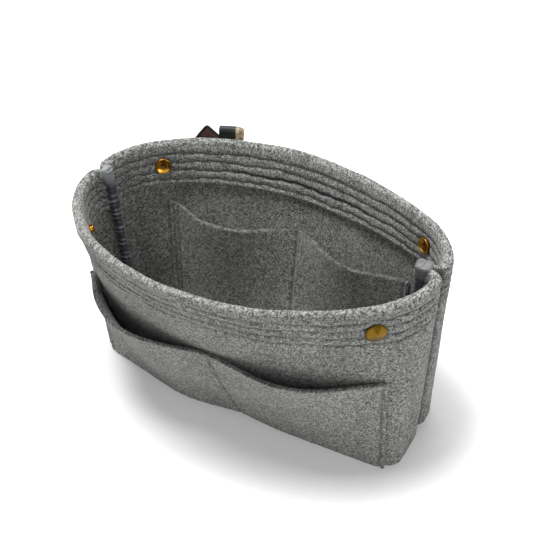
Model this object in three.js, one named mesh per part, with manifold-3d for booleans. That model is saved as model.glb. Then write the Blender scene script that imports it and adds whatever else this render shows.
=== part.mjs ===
// Felt purse organizer insert. Two wall panels, folded over at the top into a stitched hem, meet at bound end
// seams and stand round a felt base. Stitched pockets line them outside and inside, brass press studs sit near
// the four corners, and a leather loop hangs behind. Millimetres, +Z up, the front faces -Y, the origin is the
// middle of the base on the floor.
import * as THREE from 'three';
import { mergeVertices } from 'three/addons/utils/BufferGeometryUtils.js';
import Module from 'manifold-3d';

const wasm = await Module();
wasm.setup();

// Driving dimensions: felt and outline
const FELT = 3.2;
const CLEARANCE = 0.3;
const HEIGHT = 136;
const BASE_LEFT_REACH = 124;
const BASE_LEFT_CORNER_DEPTH = 25;
const BASE_LEFT_RADIUS = 6;
const BASE_KINK_REACH = 48;
const BASE_KINK_DEPTH = 43;
const BASE_KINK_RADIUS = 60;
const BASE_RIGHT_REACH = 107;
const BASE_RIGHT_CORNER_DEPTH = 40;
const BASE_RIGHT_RADIUS = 10;
const BASE_RIGHT_BACK_RADIUS = 28;
const MOUTH_HALF_LENGTH = 123.3;
const MOUTH_FRONT_DEPTH = 90.7;
const MOUTH_BACK_DEPTH = 80.3;
const MOUTH_SHIFT_X = -9.3;
const MOUTH_SHIFT_Y = -4.6;
const MOUTH_EXPONENT = 1.88;
const FRONT_SKEW_SHARE = -0.04;
const BACK_SKEW_SHARE = -0.107;

// Hem and end seams
const HEM_DEPTH = 31;
const SEAM_BEND = 1.6;
const SEAM_ALLOWANCE = 7;
const TAPE = 0.8;
const TAPE_COVER = 5.5;
const TAPE_STEP = 6;

// Outside pocket along the front
const SWELL_POWER = 1.5;
const GAPE_POWER = 1.6;
const OUTER_POCKET_HEIGHT = 78;
const OUTER_POCKET_SAG = 1;
const OUTER_START_SHARE = 0.1;
const OUTER_DIVIDER_SHARE = 0.5;
const OUTER_STOP_SHARE = 0.872;
const OUTER_LEFT_GAPE = 12;
const OUTER_RIGHT_GAPE = 10.5;

// Inside pocket along the back
const BACK_POCKET_HEIGHT = 83;
const BACK_POCKET_SAG = 3;
const BACK_POCKET_START_SHARE = 0.165;
const BACK_POCKET_STOP_SHARE = 0.81;
const BACK_DIVIDER_SHARE = 0.49;
const BACK_POCKET_GAPE = 12;
const BACK_CORNER_RISE = 9.5;
const BACK_CORNER_SPAN_SHARE = 0.085;

// Inside pocket along the front, with pen slots at its left
const FRONT_POCKET_HEIGHT = 62;
const FRONT_POCKET_SAG = 1.5;
const FRONT_POCKET_START_SHARE = 0.15;
const FRONT_POCKET_END_SHARE = 0.82;
const PEN_SLOTS = 4;
const PEN_SLOT_SHARE = 0.068;
const PEN_SLOT_GAPE = 9.5;
const FRONT_POCKET_GAPE = 10;

// Brass press studs
const SNAP_SHARE = 0.15;
const SNAP_DROP = 17.5;
const CAP_RADIUS = 6.6;
const CAP_EDGE = 0.8;
const CAP_CONE = 1.3;
const POST_RADIUS = 1.6;
const INNER_DISC_RADIUS = 5.5;
const INNER_DISC_THICKNESS = 0.9;
const SOCKET_RIM = 1.9;
const STUD_RADIUS = 2.9;
const STUD_HEIGHT = 3;
const FELT_PRESS = 0.5;

// Leather hanging loop
const STRAP_WIDTH = 14.5;
const STRAP_THICKNESS = 2;
const STRAP_RIGHT_X = -59.3;
const STRAP_RISE = 6.5;
const STRAP_BEND = 3;
const STRAP_SEWN = 22;
const STRAP_TIP_X = -72.8;
const STRAP_TIP_RISE = 2.5;
const STRAP_LEFT_X = -84.3;
const STRAP_TILT = THREE.MathUtils.degToRad(45);
const LOOP_TOP_DROP = 14;
const LOOP_DROP = 52;
const LOOP_BULGE = 9;
const LOOP_TWIST = THREE.MathUtils.degToRad(80);

// One overrun serves all cuts, and one small step finds a surface's slope
const OVERRUN = 5;
const PROBE = 0.5;
const PROBE_SHARE = 0.004;
const MIDDLE_SHARE = 0.5;

// Facets
const MOUTH_STEPS = 96;
const LENGTH_DIVISIONS = 768;
const CORNER_TURN = THREE.MathUtils.degToRad(20);
const WALL_SPACING = 8.5;
const TURN_STEPS = 4;
const FOLD_STEPS = 6;
const WALL_LEVELS = 7;
const HEM_LEVELS = 3;
const POCKET_LEVELS = 6;
const SLOT_STEPS = 6;
const SNAP_SIDES = 20;
const SEWN_STEPS = 4;
const BEND_STEPS = 8;
const LOOP_STEPS = 28;
const NOSE_STEPS = 3;
const NOSE_TURN = THREE.MathUtils.degToRad(80);

const FINISHES = {
  felt: new THREE.MeshStandardMaterial({ color: 0x77797a, roughness: 0.95, metalness: 0 }),
  tape: new THREE.MeshStandardMaterial({ color: 0x8d939a, roughness: 0.55, metalness: 0 }),
  brass: new THREE.MeshStandardMaterial({ color: 0xa8832e, roughness: 0.28, metalness: 1 }),
  leather: new THREE.MeshStandardMaterial({ color: 0x2b1d18, roughness: 0.5, metalness: 0 }),
};

const FOLD_RADIUS = FELT;
const HEM_THICKNESS = 2 * FELT;
const TURN_RADIUS = HEM_THICKNESS + SEAM_BEND;
const SEAM_END_Y = -(TURN_RADIUS + CLEARANCE / 2);
const ABOVE_BASE = FELT + CLEARANCE;

// Half of the base outline, from the left seam round a wall's foot to the right seam, with rounded corners
function baseHalfOutline(rightRadius) {
  const first = new THREE.Vector2(-BASE_LEFT_REACH, SEAM_END_Y);
  const last = new THREE.Vector2(BASE_RIGHT_REACH, SEAM_END_Y);
  const corners = [
    { place: new THREE.Vector2(-BASE_LEFT_REACH, -BASE_LEFT_CORNER_DEPTH), radius: BASE_LEFT_RADIUS },
    { place: new THREE.Vector2(-BASE_KINK_REACH, -BASE_KINK_DEPTH), radius: BASE_KINK_RADIUS },
    { place: new THREE.Vector2(BASE_RIGHT_REACH, -BASE_RIGHT_CORNER_DEPTH), radius: rightRadius },
  ];
  const path = new THREE.Path();
  path.moveTo(first.x, first.y);
  corners.forEach(({ place, radius }, i) => {
    const back = (corners[i - 1]?.place ?? first).clone().sub(place).normalize();
    const ahead = (corners[i + 1]?.place ?? last).clone().sub(place).normalize();
    const half = Math.acos(back.dot(ahead)) / 2;
    const middle = back.clone().add(ahead).setLength(radius / Math.sin(half)).add(place);
    const start = place.clone().addScaledVector(back, radius / Math.tan(half));
    const stop = place.clone().addScaledVector(ahead, radius / Math.tan(half));
    path.lineTo(start.x, start.y);
    path.absarc(middle.x, middle.y, radius, start.sub(middle).angle(), stop.sub(middle).angle(), false);
  });
  path.lineTo(last.x, last.y);
  return path;
}

// Half of the mouth's oval from seam to seam: a superellipse, fuller towards one end, shifted off the base
function mouthHalfOutline(depth, skew, mirror) {
  const points = spaced(0, Math.PI, MOUTH_STEPS).map((angle) => {
    const cosine = -Math.cos(angle);
    const x = MOUTH_HALF_LENGTH * Math.sign(cosine) * Math.abs(cosine) ** (2 / MOUTH_EXPONENT);
    const bulge = Math.abs(Math.sin(angle)) ** (2 / MOUTH_EXPONENT) * (1 + skew * cosine);
    const y = SEAM_END_Y - (depth + SEAM_END_Y) * bulge;
    return new THREE.Vector2(x + MOUTH_SHIFT_X, y + mirror * MOUTH_SHIFT_Y);
  });
  const curve = new THREE.SplineCurve(points);
  curve.arcLengthDivisions = LENGTH_DIVISIONS;
  return curve;
}

const FRONT = {
  base: baseHalfOutline(BASE_RIGHT_RADIUS),
  mouth: mouthHalfOutline(MOUTH_FRONT_DEPTH, FRONT_SKEW_SHARE, 1),
  mirror: 1,
};
const BACK = {
  base: baseHalfOutline(BASE_RIGHT_BACK_RADIUS),
  mouth: mouthHalfOutline(MOUTH_BACK_DEPTH, BACK_SKEW_SHARE, -1),
  mirror: -1,
};

// The wall's outer line at a height: the base outline widens straight into the mouth
function outlinePoint(side, share, z) {
  const clamped = THREE.MathUtils.clamp(share, 0, 1);
  return side.base.getPointAt(clamped).lerp(side.mouth.getPointAt(clamped), z / HEIGHT);
}

// A point of a wall at a depth inside its outer face, where a negative depth lies outside it
function wallPoint(side, share, z, depth) {
  const point = outlinePoint(side, share, z);
  const along = outlinePoint(side, share + PROBE_SHARE, z).sub(outlinePoint(side, share - PROBE_SHARE, z));
  along.normalize();
  return new THREE.Vector3(point.x - along.y * depth, side.mirror * (point.y + along.x * depth), z);
}

// A point of the turned end of a panel: round the bend into the seam, then along the seam allowance
function seamPoint(side, end, turn, run, z, depth) {
  const corner = outlinePoint(side, end < 0 ? 0 : 1, z);
  const radius = TURN_RADIUS - depth;
  const x = corner.x - end * TURN_RADIUS + end * radius * Math.cos(turn) - end * run;
  const y = corner.y + radius * Math.sin(turn);
  return new THREE.Vector3(x, side.mirror * y, z);
}

// Shares along a wall: close together round the base's corners, wider apart between them
function wallShares(start, stop) {
  const { curves } = FRONT.base;
  const total = FRONT.base.getLength();
  const shares = [start];
  let passed = 0;
  curves.forEach((curve) => {
    const length = curve.getLength();
    const bend = curve instanceof THREE.EllipseCurve ? curve.yRadius * CORNER_TURN : WALL_SPACING;
    const spacing = Math.min(bend, WALL_SPACING);
    spaced(passed, passed + length, Math.ceil(length / spacing)).forEach((place) => {
      const share = place / total;
      const previous = shares[shares.length - 1];
      if (share > previous + PROBE_SHARE && share < stop - PROBE_SHARE) shares.push(share);
    });
    passed += length;
  });
  shares.push(stop);
  return shares;
}

// A share that starts and stops gently
function eased(share) {
  return share * share * (3 - 2 * share);
}

// Values evenly spaced from one to another, both included
function spaced(from, to, steps) {
  return Array.from({ length: steps + 1 }, (_, i) => THREE.MathUtils.lerp(from, to, i / steps));
}

// Closed solid through a row of like rings, capped at both ends; the flat form of a ring guides the caps
function solidFromRings(rings, flatRing) {
  const size = flatRing.length;
  const positions = rings.flat().flatMap((point) => [point.x, point.y, point.z]);
  const indices = [];
  for (let i = 0; i + 1 < rings.length; i += 1) {
    for (let j = 0; j < size; j += 1) {
      const a = i * size + j;
      const b = i * size + ((j + 1) % size);
      indices.push(a, b, b + size, a, b + size, a + size);
    }
  }
  const last = (rings.length - 1) * size;
  const clockwise = THREE.ShapeUtils.isClockWise(flatRing);
  THREE.ShapeUtils.triangulateShape(flatRing, []).forEach(([a, b, c]) => {
    const first = clockwise ? [a, b, c] : [c, b, a];
    indices.push(...first, ...first.map((corner) => corner + last).reverse());
  });
  const geometry = new THREE.BufferGeometry();
  geometry.setAttribute('position', new THREE.Float32BufferAttribute(positions, 3));
  geometry.setIndex(indices);
  return facingOut(geometry);
}

// Turns every face round if the solid is inside out
function facingOut(geometry) {
  const position = geometry.getAttribute('position');
  const index = geometry.getIndex();
  const corner = [new THREE.Vector3(), new THREE.Vector3(), new THREE.Vector3()];
  let volume = 0;
  for (let i = 0; i < index.count; i += 3) {
    corner.forEach((point, k) => point.fromBufferAttribute(position, index.getX(i + k)));
    volume += corner[0].dot(corner[1].cross(corner[2]));
  }
  if (volume < 0) {
    for (let i = 0; i < index.count; i += 3) {
      const held = index.getX(i);
      index.setX(i, index.getX(i + 1));
      index.setX(i + 1, held);
    }
  }
  return geometry;
}

function toManifold(geometry) {
  const bare = geometry.clone();
  bare.deleteAttribute('normal');
  bare.deleteAttribute('uv');
  const merged = mergeVertices(bare);
  const vertProperties = new Float32Array(merged.getAttribute('position').array);
  const triVerts = new Uint32Array(merged.getIndex().array);
  return new wasm.Manifold(new wasm.Mesh({ numProp: 3, vertProperties, triVerts }));
}

function fromManifold(solid) {
  const mesh = solid.getMesh();
  const geometry = new THREE.BufferGeometry();
  geometry.setAttribute('position', new THREE.BufferAttribute(mesh.vertProperties, 3));
  geometry.setIndex(new THREE.BufferAttribute(mesh.triVerts, 1));
  return geometry;
}

function cut(geometry, cutters) {
  const solid = cutters.reduce((rest, cutter) => rest.subtract(toManifold(cutter)), toManifold(geometry));
  return fromManifold(solid);
}

// Section of a wall panel as depth and height: up the outside, over the fold, down the hem to its raw edge
// and down the inside
function panelSection(low) {
  const foldZ = HEIGHT - FOLD_RADIUS;
  const hemZ = HEIGHT - HEM_DEPTH;
  const outside = spaced(low, foldZ, WALL_LEVELS).map((z) => new THREE.Vector2(0, z));
  const fold = spaced(0, Math.PI, FOLD_STEPS).slice(1).map((angle) => new THREE.Vector2(
    FOLD_RADIUS * (1 - Math.cos(angle)),
    foldZ + FOLD_RADIUS * Math.sin(angle),
  ));
  const hem = spaced(foldZ, hemZ, HEM_LEVELS).slice(1).map((z) => new THREE.Vector2(HEM_THICKNESS, z));
  const inside = spaced(hemZ, low, WALL_LEVELS).map((z) => new THREE.Vector2(FELT, z));
  return [...outside, ...fold, ...hem, ...inside];
}

// A wall panel runs from seam to seam and turns inwards at both ends; its turned ends stand on the base
function panelGeometry(side) {
  const section = panelSection(0);
  const raised = panelSection(ABOVE_BASE);
  const turns = spaced(0, Math.PI / 2, TURN_STEPS).slice(1);
  const seamEnd = (end) => [
    ...turns.map((turn) => raised.map((p) => seamPoint(side, end, turn, 0, p.y, p.x))),
    raised.map((p) => seamPoint(side, end, Math.PI / 2, SEAM_ALLOWANCE, p.y, p.x)),
  ];
  const wall = wallShares(0, 1).map((share) => section.map((p) => wallPoint(side, share, p.y, p.x)));
  const rings = [...seamEnd(-1).reverse(), ...wall, ...seamEnd(1)];
  return cut(solidFromRings(rings, section), [snapCutter(side, -1), snapCutter(side, 1)]);
}

// Where a press stud goes through the hem: its place on the outer face, the way out, and the felt between
function snapSeat(side, end) {
  const share = end < 0 ? SNAP_SHARE : 1 - SNAP_SHARE;
  const z = HEIGHT - SNAP_DROP;
  const place = wallPoint(side, share, z, 0);
  const along = wallPoint(side, share + PROBE_SHARE, z, 0).sub(wallPoint(side, share - PROBE_SHARE, z, 0));
  const up = wallPoint(side, share, z + PROBE, 0).sub(wallPoint(side, share, z - PROBE, 0));
  const out = new THREE.Vector3().crossVectors(along, up).multiplyScalar(side.mirror).normalize();
  const inner = wallPoint(side, share, z, HEM_THICKNESS);
  const thickness = place.clone().sub(inner).dot(out);
  const turn = new THREE.Quaternion().setFromUnitVectors(new THREE.Vector3(0, 0, 1), out);
  return { place, out, turn, thickness };
}

function revolve(profile) {
  const points = profile.map(([radius, height]) => new THREE.Vector2(radius, height));
  return facingOut(new THREE.LatheGeometry(points, SNAP_SIDES).rotateX(Math.PI / 2));
}

// The hole for the post, and the flats that the two discs press into the felt
function snapCutter(side, end) {
  const { place, turn, thickness } = snapSeat(side, end);
  const outer = CAP_RADIUS + CLEARANCE;
  const inner = INNER_DISC_RADIUS + CLEARANCE;
  const hole = POST_RADIUS + CLEARANCE;
  const spool = revolve([
    [0, OVERRUN], [outer, OVERRUN], [outer, -FELT_PRESS], [hole, -FELT_PRESS],
    [hole, FELT_PRESS - thickness], [inner, FELT_PRESS - thickness], [inner, -thickness - OVERRUN],
    [0, -thickness - OVERRUN],
  ]);
  return spool.applyQuaternion(turn).translate(place.x, place.y, place.z);
}

// Shallow cone cap with its post, which ends inside the disc on the other face
function capGeometry(thickness) {
  const seat = CLEARANCE - FELT_PRESS;
  const tip = FELT_PRESS - thickness - INNER_DISC_THICKNESS;
  return revolve([
    [0, tip], [POST_RADIUS, tip], [POST_RADIUS, seat], [CAP_RADIUS - CAP_EDGE / 2, seat],
    [CAP_RADIUS, seat + CAP_EDGE / 2], [CAP_RADIUS - CAP_EDGE / 2, seat + CAP_EDGE],
    [0, seat + CAP_EDGE + CAP_CONE],
  ]);
}

// Socket: a dished ring round the post's end, with a rolled rim
function socketGeometry() {
  const bore = POST_RADIUS + CLEARANCE;
  const seat = CLEARANCE;
  return revolve([
    [bore, seat], [INNER_DISC_RADIUS - CAP_EDGE / 2, seat], [INNER_DISC_RADIUS, seat + CAP_EDGE / 2],
    [INNER_DISC_RADIUS - CAP_EDGE / 2, seat + SOCKET_RIM], [INNER_DISC_RADIUS - CAP_EDGE, seat + SOCKET_RIM],
    [bore + CAP_EDGE / 2, seat + INNER_DISC_THICKNESS], [bore, seat + INNER_DISC_THICKNESS],
    [bore, seat],
  ]);
}

// Stud: a disc with a headed knob, hollow from below for the post's end
function studGeometry() {
  const bore = POST_RADIUS + CLEARANCE;
  const seat = CLEARANCE;
  const neck = STUD_RADIUS - CAP_EDGE / 2;
  const roof = seat + INNER_DISC_THICKNESS + CLEARANCE;
  return revolve([
    [0, roof], [bore, roof], [bore, seat], [INNER_DISC_RADIUS - CAP_EDGE / 2, seat],
    [INNER_DISC_RADIUS, seat + CAP_EDGE / 2], [INNER_DISC_RADIUS - CAP_EDGE / 2, seat + CAP_EDGE],
    [neck, seat + CAP_EDGE], [neck, seat + STUD_HEIGHT / 2], [STUD_RADIUS, seat + (STUD_HEIGHT * 3) / 4],
    [neck, seat + STUD_HEIGHT], [0, seat + STUD_HEIGHT],
  ]);
}

// Base: a flat felt panel inside the walls' lower edges, which it follows as they lean
function baseGeometry() {
  const shares = wallShares(0, 1);
  const edgeAt = (z) => [
    ...shares.map((share) => wallPoint(FRONT, share, z, ABOVE_BASE)),
    ...shares.map((share) => wallPoint(BACK, share, z, ABOVE_BASE)).reverse(),
  ];
  const rings = [edgeAt(0), edgeAt(FELT)];
  return solidFromRings(rings, rings[0].map((point) => new THREE.Vector2(point.x, point.y)));
}

// How far a pocket's mouth stands off its wall at a share: nothing at a stitched line, most midway
function swell(compartments, share) {
  const held = compartments.find((part) => share >= part.start && share <= part.stop);
  if (!held) return { gape: 0, sag: 0 };
  const bell = Math.sin((Math.PI * (share - held.start)) / (held.stop - held.start)) ** SWELL_POWER;
  return { gape: held.gape * bell, sag: held.sag * bell };
}

// A pocket is a felt strip that follows a wall at a depth, swelling away from it towards its open edge, which
// may rise at a share above the pocket's height
function pocketGeometry({ side, nearFace, outward, low, height, compartments, shares, riseAt = () => 0 }) {
  const rows = spaced(0, 1, POCKET_LEVELS);
  const ring = [...rows.map((row) => [0, row]), ...rows.map((row) => [1, row]).reverse()];
  const flat = ring.map(([layer, row]) => (
    new THREE.Vector2(layer * FELT, THREE.MathUtils.lerp(low, height, row))
  ));
  const rings = shares.map((share) => {
    const { gape, sag } = swell(compartments, share);
    return ring.map(([layer, row]) => {
      const z = THREE.MathUtils.lerp(low, height - sag + riseAt(share), row);
      const away = gape * row ** GAPE_POWER + layer * FELT;
      return wallPoint(side, share, z, nearFace + outward * away);
    });
  });
  return solidFromRings(rings, flat);
}

function outerPocketGeometry() {
  const gapes = [
    { start: OUTER_START_SHARE, stop: OUTER_DIVIDER_SHARE, gape: OUTER_LEFT_GAPE, sag: OUTER_POCKET_SAG },
    { start: OUTER_DIVIDER_SHARE, stop: OUTER_STOP_SHARE, gape: OUTER_RIGHT_GAPE, sag: OUTER_POCKET_SAG },
  ];
  return pocketGeometry({
    side: FRONT,
    nearFace: -CLEARANCE,
    outward: -1,
    low: 0,
    height: OUTER_POCKET_HEIGHT,
    compartments: gapes,
    shares: wallShares(OUTER_START_SHARE, OUTER_STOP_SHARE),
  });
}

function backPocketGeometry() {
  const swelling = { gape: BACK_POCKET_GAPE, sag: BACK_POCKET_SAG };
  const riseAt = (share) => {
    const passed = THREE.MathUtils.clamp((share - BACK_POCKET_START_SHARE) / BACK_CORNER_SPAN_SHARE, 0, 1);
    return BACK_CORNER_RISE * (1 - eased(passed));
  };
  const gapes = [
    { start: BACK_POCKET_START_SHARE, stop: BACK_DIVIDER_SHARE, ...swelling },
    { start: BACK_DIVIDER_SHARE, stop: BACK_POCKET_STOP_SHARE, ...swelling },
  ];
  return pocketGeometry({
    side: BACK,
    nearFace: ABOVE_BASE,
    outward: 1,
    low: ABOVE_BASE,
    height: BACK_POCKET_HEIGHT,
    compartments: gapes,
    shares: wallShares(BACK_POCKET_START_SHARE, BACK_POCKET_STOP_SHARE),
    riseAt,
  });
}

function frontPocketGeometry() {
  const slotEnds = spaced(0, PEN_SLOTS, PEN_SLOTS).map((i) => FRONT_POCKET_START_SHARE + i * PEN_SLOT_SHARE);
  const slots = slotEnds.slice(1).map((stop, i) => (
    { start: slotEnds[i], stop, gape: PEN_SLOT_GAPE, sag: FRONT_POCKET_SAG }
  ));
  const wide = {
    start: slotEnds[PEN_SLOTS], stop: FRONT_POCKET_END_SHARE, gape: FRONT_POCKET_GAPE, sag: FRONT_POCKET_SAG,
  };
  const slotShares = slots.flatMap(({ start, stop }) => spaced(start, stop, SLOT_STEPS).slice(0, -1));
  return pocketGeometry({
    side: FRONT,
    nearFace: ABOVE_BASE,
    outward: 1,
    low: ABOVE_BASE,
    height: FRONT_POCKET_HEIGHT,
    compartments: [...slots, wide],
    shares: [...slotShares, ...wallShares(wide.start, wide.stop)],
  });
}

// The seam allowance's binding: a folded tape round the raw edges, closed over the top as a tab
function bindingGeometry(end) {
  const hemZ = HEIGHT - HEM_DEPTH - CLEARANCE;
  const thin = CLEARANCE / 2 + FELT + CLEARANCE;
  const thick = CLEARANCE / 2 + HEM_THICKNESS + CLEARANCE;
  const roof = HEIGHT + CLEARANCE;
  const seam = (z) => outlinePoint(FRONT, end < 0 ? 0 : 1, z);
  const ringAt = (z, flat) => flat.map((p) => {
    const corner = seam(z);
    const x = corner.x - end * (TURN_RADIUS + SEAM_ALLOWANCE - p.x);
    return new THREE.Vector3(x, corner.y - SEAM_END_Y + p.y, z);
  });
  const shell = (half, grow, cover, corner) => [
    new THREE.Vector2(cover, half + grow), new THREE.Vector2(corner - CLEARANCE - grow, half + grow),
    new THREE.Vector2(-CLEARANCE - grow, half + grow - corner),
    new THREE.Vector2(-CLEARANCE - grow, corner - half - grow),
    new THREE.Vector2(corner - CLEARANCE - grow, -half - grow), new THREE.Vector2(cover, -half - grow),
  ];
  const outer = [
    [ABOVE_BASE, thin], [hemZ - TAPE_STEP, thin], [hemZ, thick], [roof + TAPE, thick],
  ].map(([z, half]) => ringAt(z, shell(half, TAPE, TAPE_COVER, CLEARANCE + TAPE)));
  const inner = [
    [ABOVE_BASE - OVERRUN, thin], [hemZ - TAPE_STEP, thin], [hemZ, thick], [roof, thick],
  ].map(([z, half]) => ringAt(z, shell(half, 0, TAPE_COVER + OVERRUN, CLEARANCE)));
  const flatOuter = shell(thin, TAPE, TAPE_COVER, CLEARANCE + TAPE);
  const flatInner = shell(thin, 0, TAPE_COVER + OVERRUN, CLEARANCE);
  return cut(solidFromRings(outer, flatOuter), [solidFromRings(inner, flatInner)]);
}

const STRAP_NEAR = CLEARANCE + STRAP_THICKNESS / 2;
const STRAP_FAR = STRAP_NEAR + 2 * STRAP_BEND;
const HINGE_Z = HEIGHT - LOOP_TOP_DROP;
const HINGE_GAP = STRAP_THICKNESS / 2 + CLEARANCE;

// Places a point of the strap on the back wall: x runs along the wall from its middle, y stands off its outer
// face, and z is the height, where the face counts only as far as the strap is sewn to it
function onBackWall(point) {
  const z = THREE.MathUtils.clamp(point.z, HEIGHT - STRAP_SEWN, HEIGHT);
  const place = wallPoint(BACK, MIDDLE_SHARE + point.x / BACK.mouth.getLength(), z, -point.y);
  return place.setZ(point.z);
}

// The loop swings about the straight line through the two places where the strap's ends let it hang
const HINGE_LEFT = onBackWall(new THREE.Vector3(STRAP_LEFT_X, STRAP_FAR, HINGE_Z));
const HINGE_RIGHT = onBackWall(new THREE.Vector3(STRAP_RIGHT_X, STRAP_FAR, HINGE_Z));
const HINGE_AXIS = HINGE_RIGHT.clone().sub(HINGE_LEFT).normalize();

// Places a point of the strap in the upright plane of the hinge line, with x, y and z as on the wall
function onHingePlane(point) {
  const out = new THREE.Vector3(-HINGE_AXIS.y, HINGE_AXIS.x, 0);
  const middle = HINGE_LEFT.clone().lerp(HINGE_RIGHT, MIDDLE_SHARE);
  const along = point.x - THREE.MathUtils.lerp(STRAP_LEFT_X, STRAP_RIGHT_X, MIDDLE_SHARE);
  return middle.addScaledVector(HINGE_AXIS, along).addScaledVector(out, point.y - STRAP_FAR).setZ(point.z);
}

// A leather strap along stations, each with its centre, the way across the strap, its grain side's normal, how
// far it has left the wall for the hinge plane, and how full its thickness is
function strapGeometry(stations) {
  const halfWidth = STRAP_WIDTH / 2;
  const halfThickness = STRAP_THICKNESS / 2;
  const bevel = STRAP_THICKNESS / 4;
  const flat = [
    [halfWidth, -halfThickness + bevel], [halfWidth, halfThickness - bevel],
    [halfWidth - bevel, halfThickness], [bevel - halfWidth, halfThickness],
    [-halfWidth, halfThickness - bevel], [-halfWidth, bevel - halfThickness],
    [bevel - halfWidth, -halfThickness], [halfWidth - bevel, -halfThickness],
  ].map(([across, through]) => new THREE.Vector2(across, through));
  const rings = stations.map(({ centre, across, grain, hangShare, fullShare = 1 }) => flat.map((p) => {
    const point = centre.clone().addScaledVector(across, p.x).addScaledVector(grain, p.y * fullShare);
    return onBackWall(point).lerp(onHingePlane(point), hangShare);
  }));
  return solidFromRings(rings, flat);
}

// Right end of the strap: sewn flat to the wall, up over the rim's level and down again away from the wall
function strapRightGeometry() {
  const across = new THREE.Vector3(1, 0, 0);
  const arcZ = HEIGHT + STRAP_RISE - STRAP_BEND - STRAP_THICKNESS / 2;
  const sewn = spaced(HEIGHT - STRAP_SEWN, HEIGHT, SEWN_STEPS).map((z) => ({
    centre: new THREE.Vector3(STRAP_RIGHT_X, STRAP_NEAR, z),
    across,
    grain: new THREE.Vector3(0, -1, 0),
    hangShare: 0,
  }));
  const bend = spaced(0, Math.PI, BEND_STEPS).map((angle) => ({
    centre: new THREE.Vector3(
      STRAP_RIGHT_X,
      STRAP_NEAR + STRAP_BEND * (1 - Math.cos(angle)),
      arcZ + STRAP_BEND * Math.sin(angle),
    ),
    across,
    grain: new THREE.Vector3(0, -Math.cos(angle), Math.sin(angle)),
    hangShare: angle / Math.PI,
  }));
  const farEnd = {
    centre: new THREE.Vector3(STRAP_RIGHT_X, STRAP_FAR, HINGE_Z + HINGE_GAP),
    across,
    grain: new THREE.Vector3(0, 1, 0),
    hangShare: 1,
  };
  return strapGeometry([...sewn, ...bend, farEnd]);
}

// Left end of the strap: its cut corner stands above the rim, and it leans away from the wall as it falls
function strapLeftGeometry() {
  const top = new THREE.Vector2(STRAP_TIP_X, HEIGHT + STRAP_TIP_RISE);
  const bottom = new THREE.Vector2(STRAP_LEFT_X, HINGE_Z + HINGE_GAP);
  const stations = spaced(0, 1, BEND_STEPS).map((share) => {
    const tilt = THREE.MathUtils.lerp(STRAP_TILT, 0, share);
    const place = top.clone().lerp(bottom, share);
    const off = THREE.MathUtils.lerp(STRAP_NEAR, STRAP_FAR, eased(share));
    return {
      centre: new THREE.Vector3(place.x, off, place.y),
      across: new THREE.Vector3(Math.cos(tilt), 0, -Math.sin(tilt)),
      grain: new THREE.Vector3(0, 1, 0),
      hangShare: share,
    };
  });
  return strapGeometry(stations);
}

// The loop's middle line at a share of its length, with the way it runs: it starts and ends straight down,
// and bulges to both sides between
function loopPath(share) {
  const angle = Math.PI * share;
  const sway = Math.sin(2 * angle) * Math.sin(angle);
  const x = THREE.MathUtils.lerp(STRAP_LEFT_X, STRAP_RIGHT_X, eased(share)) - LOOP_BULGE * sway;
  return new THREE.Vector3(x, STRAP_FAR, HINGE_Z - LOOP_DROP * Math.sin(angle));
}

// The loop hangs behind the wall and turns edge on to it at its foot, grain side outwards. Both its ends are
// round noses about the hinge line
function strapLoopGeometry() {
  const grainAt = (twist, run) => new THREE.Vector3(0, Math.cos(twist), 0)
    .addScaledVector(new THREE.Vector3(run.z, 0, -run.x), Math.sin(twist));
  const hanging = spaced(0, 1, LOOP_STEPS).map((share) => {
    const run = loopPath(share + PROBE_SHARE).sub(loopPath(share - PROBE_SHARE)).normalize();
    const grain = grainAt(LOOP_TWIST * Math.sin(Math.PI * share), run);
    return { centre: loopPath(share), across: grain.clone().cross(run).normalize(), grain, hangShare: 1 };
  });
  const nose = (end) => spaced(0, NOSE_TURN, NOSE_STEPS).slice(1).map((angle) => ({
    ...end,
    centre: end.centre.clone().setZ(HINGE_Z + (STRAP_THICKNESS / 2) * Math.sin(angle)),
    fullShare: Math.cos(angle),
  }));
  return strapGeometry([
    ...nose(hanging[0]).reverse(), ...hanging, ...nose(hanging[hanging.length - 1]),
  ]);
}

const group = new THREE.Group();

function addPiece(name, geometry, finish) {
  const mesh = new THREE.Mesh(geometry, FINISHES[finish]);
  mesh.name = name;
  group.add(mesh);
  return mesh;
}

function addSnap(name, side, end, innerName, innerGeometry) {
  const { place, out, turn, thickness } = snapSeat(side, end);
  const cap = addPiece(`snap_cap_${name}`, capGeometry(thickness), 'brass');
  cap.position.copy(place);
  cap.quaternion.copy(turn);
  const inner = addPiece(`${innerName}_${name}`, innerGeometry, 'brass');
  inner.position.copy(place).addScaledVector(out, FELT_PRESS - thickness);
  inner.quaternion.setFromUnitVectors(new THREE.Vector3(0, 0, 1), out.clone().negate());
}

addPiece('front_panel', panelGeometry(FRONT), 'felt');
addPiece('back_panel', panelGeometry(BACK), 'felt');
addPiece('base_panel', baseGeometry(), 'felt');
addPiece('outer_front_pocket', outerPocketGeometry(), 'felt');
addPiece('inner_back_pocket', backPocketGeometry(), 'felt');
addPiece('inner_front_pocket', frontPocketGeometry(), 'felt');
addPiece('seam_binding_left', bindingGeometry(-1), 'tape');
addPiece('seam_binding_right', bindingGeometry(1), 'tape');
addSnap('front_left', FRONT, -1, 'snap_stud', studGeometry());
addSnap('front_right', FRONT, 1, 'snap_stud', studGeometry());
addSnap('back_left', BACK, -1, 'snap_socket', socketGeometry());
addSnap('back_right', BACK, 1, 'snap_socket', socketGeometry());
addPiece('strap_end_left', strapLeftGeometry(), 'leather');
addPiece('strap_end_right', strapRightGeometry(), 'leather');
addPiece('strap_loop', strapLoopGeometry(), 'leather');

export default group;
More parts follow.
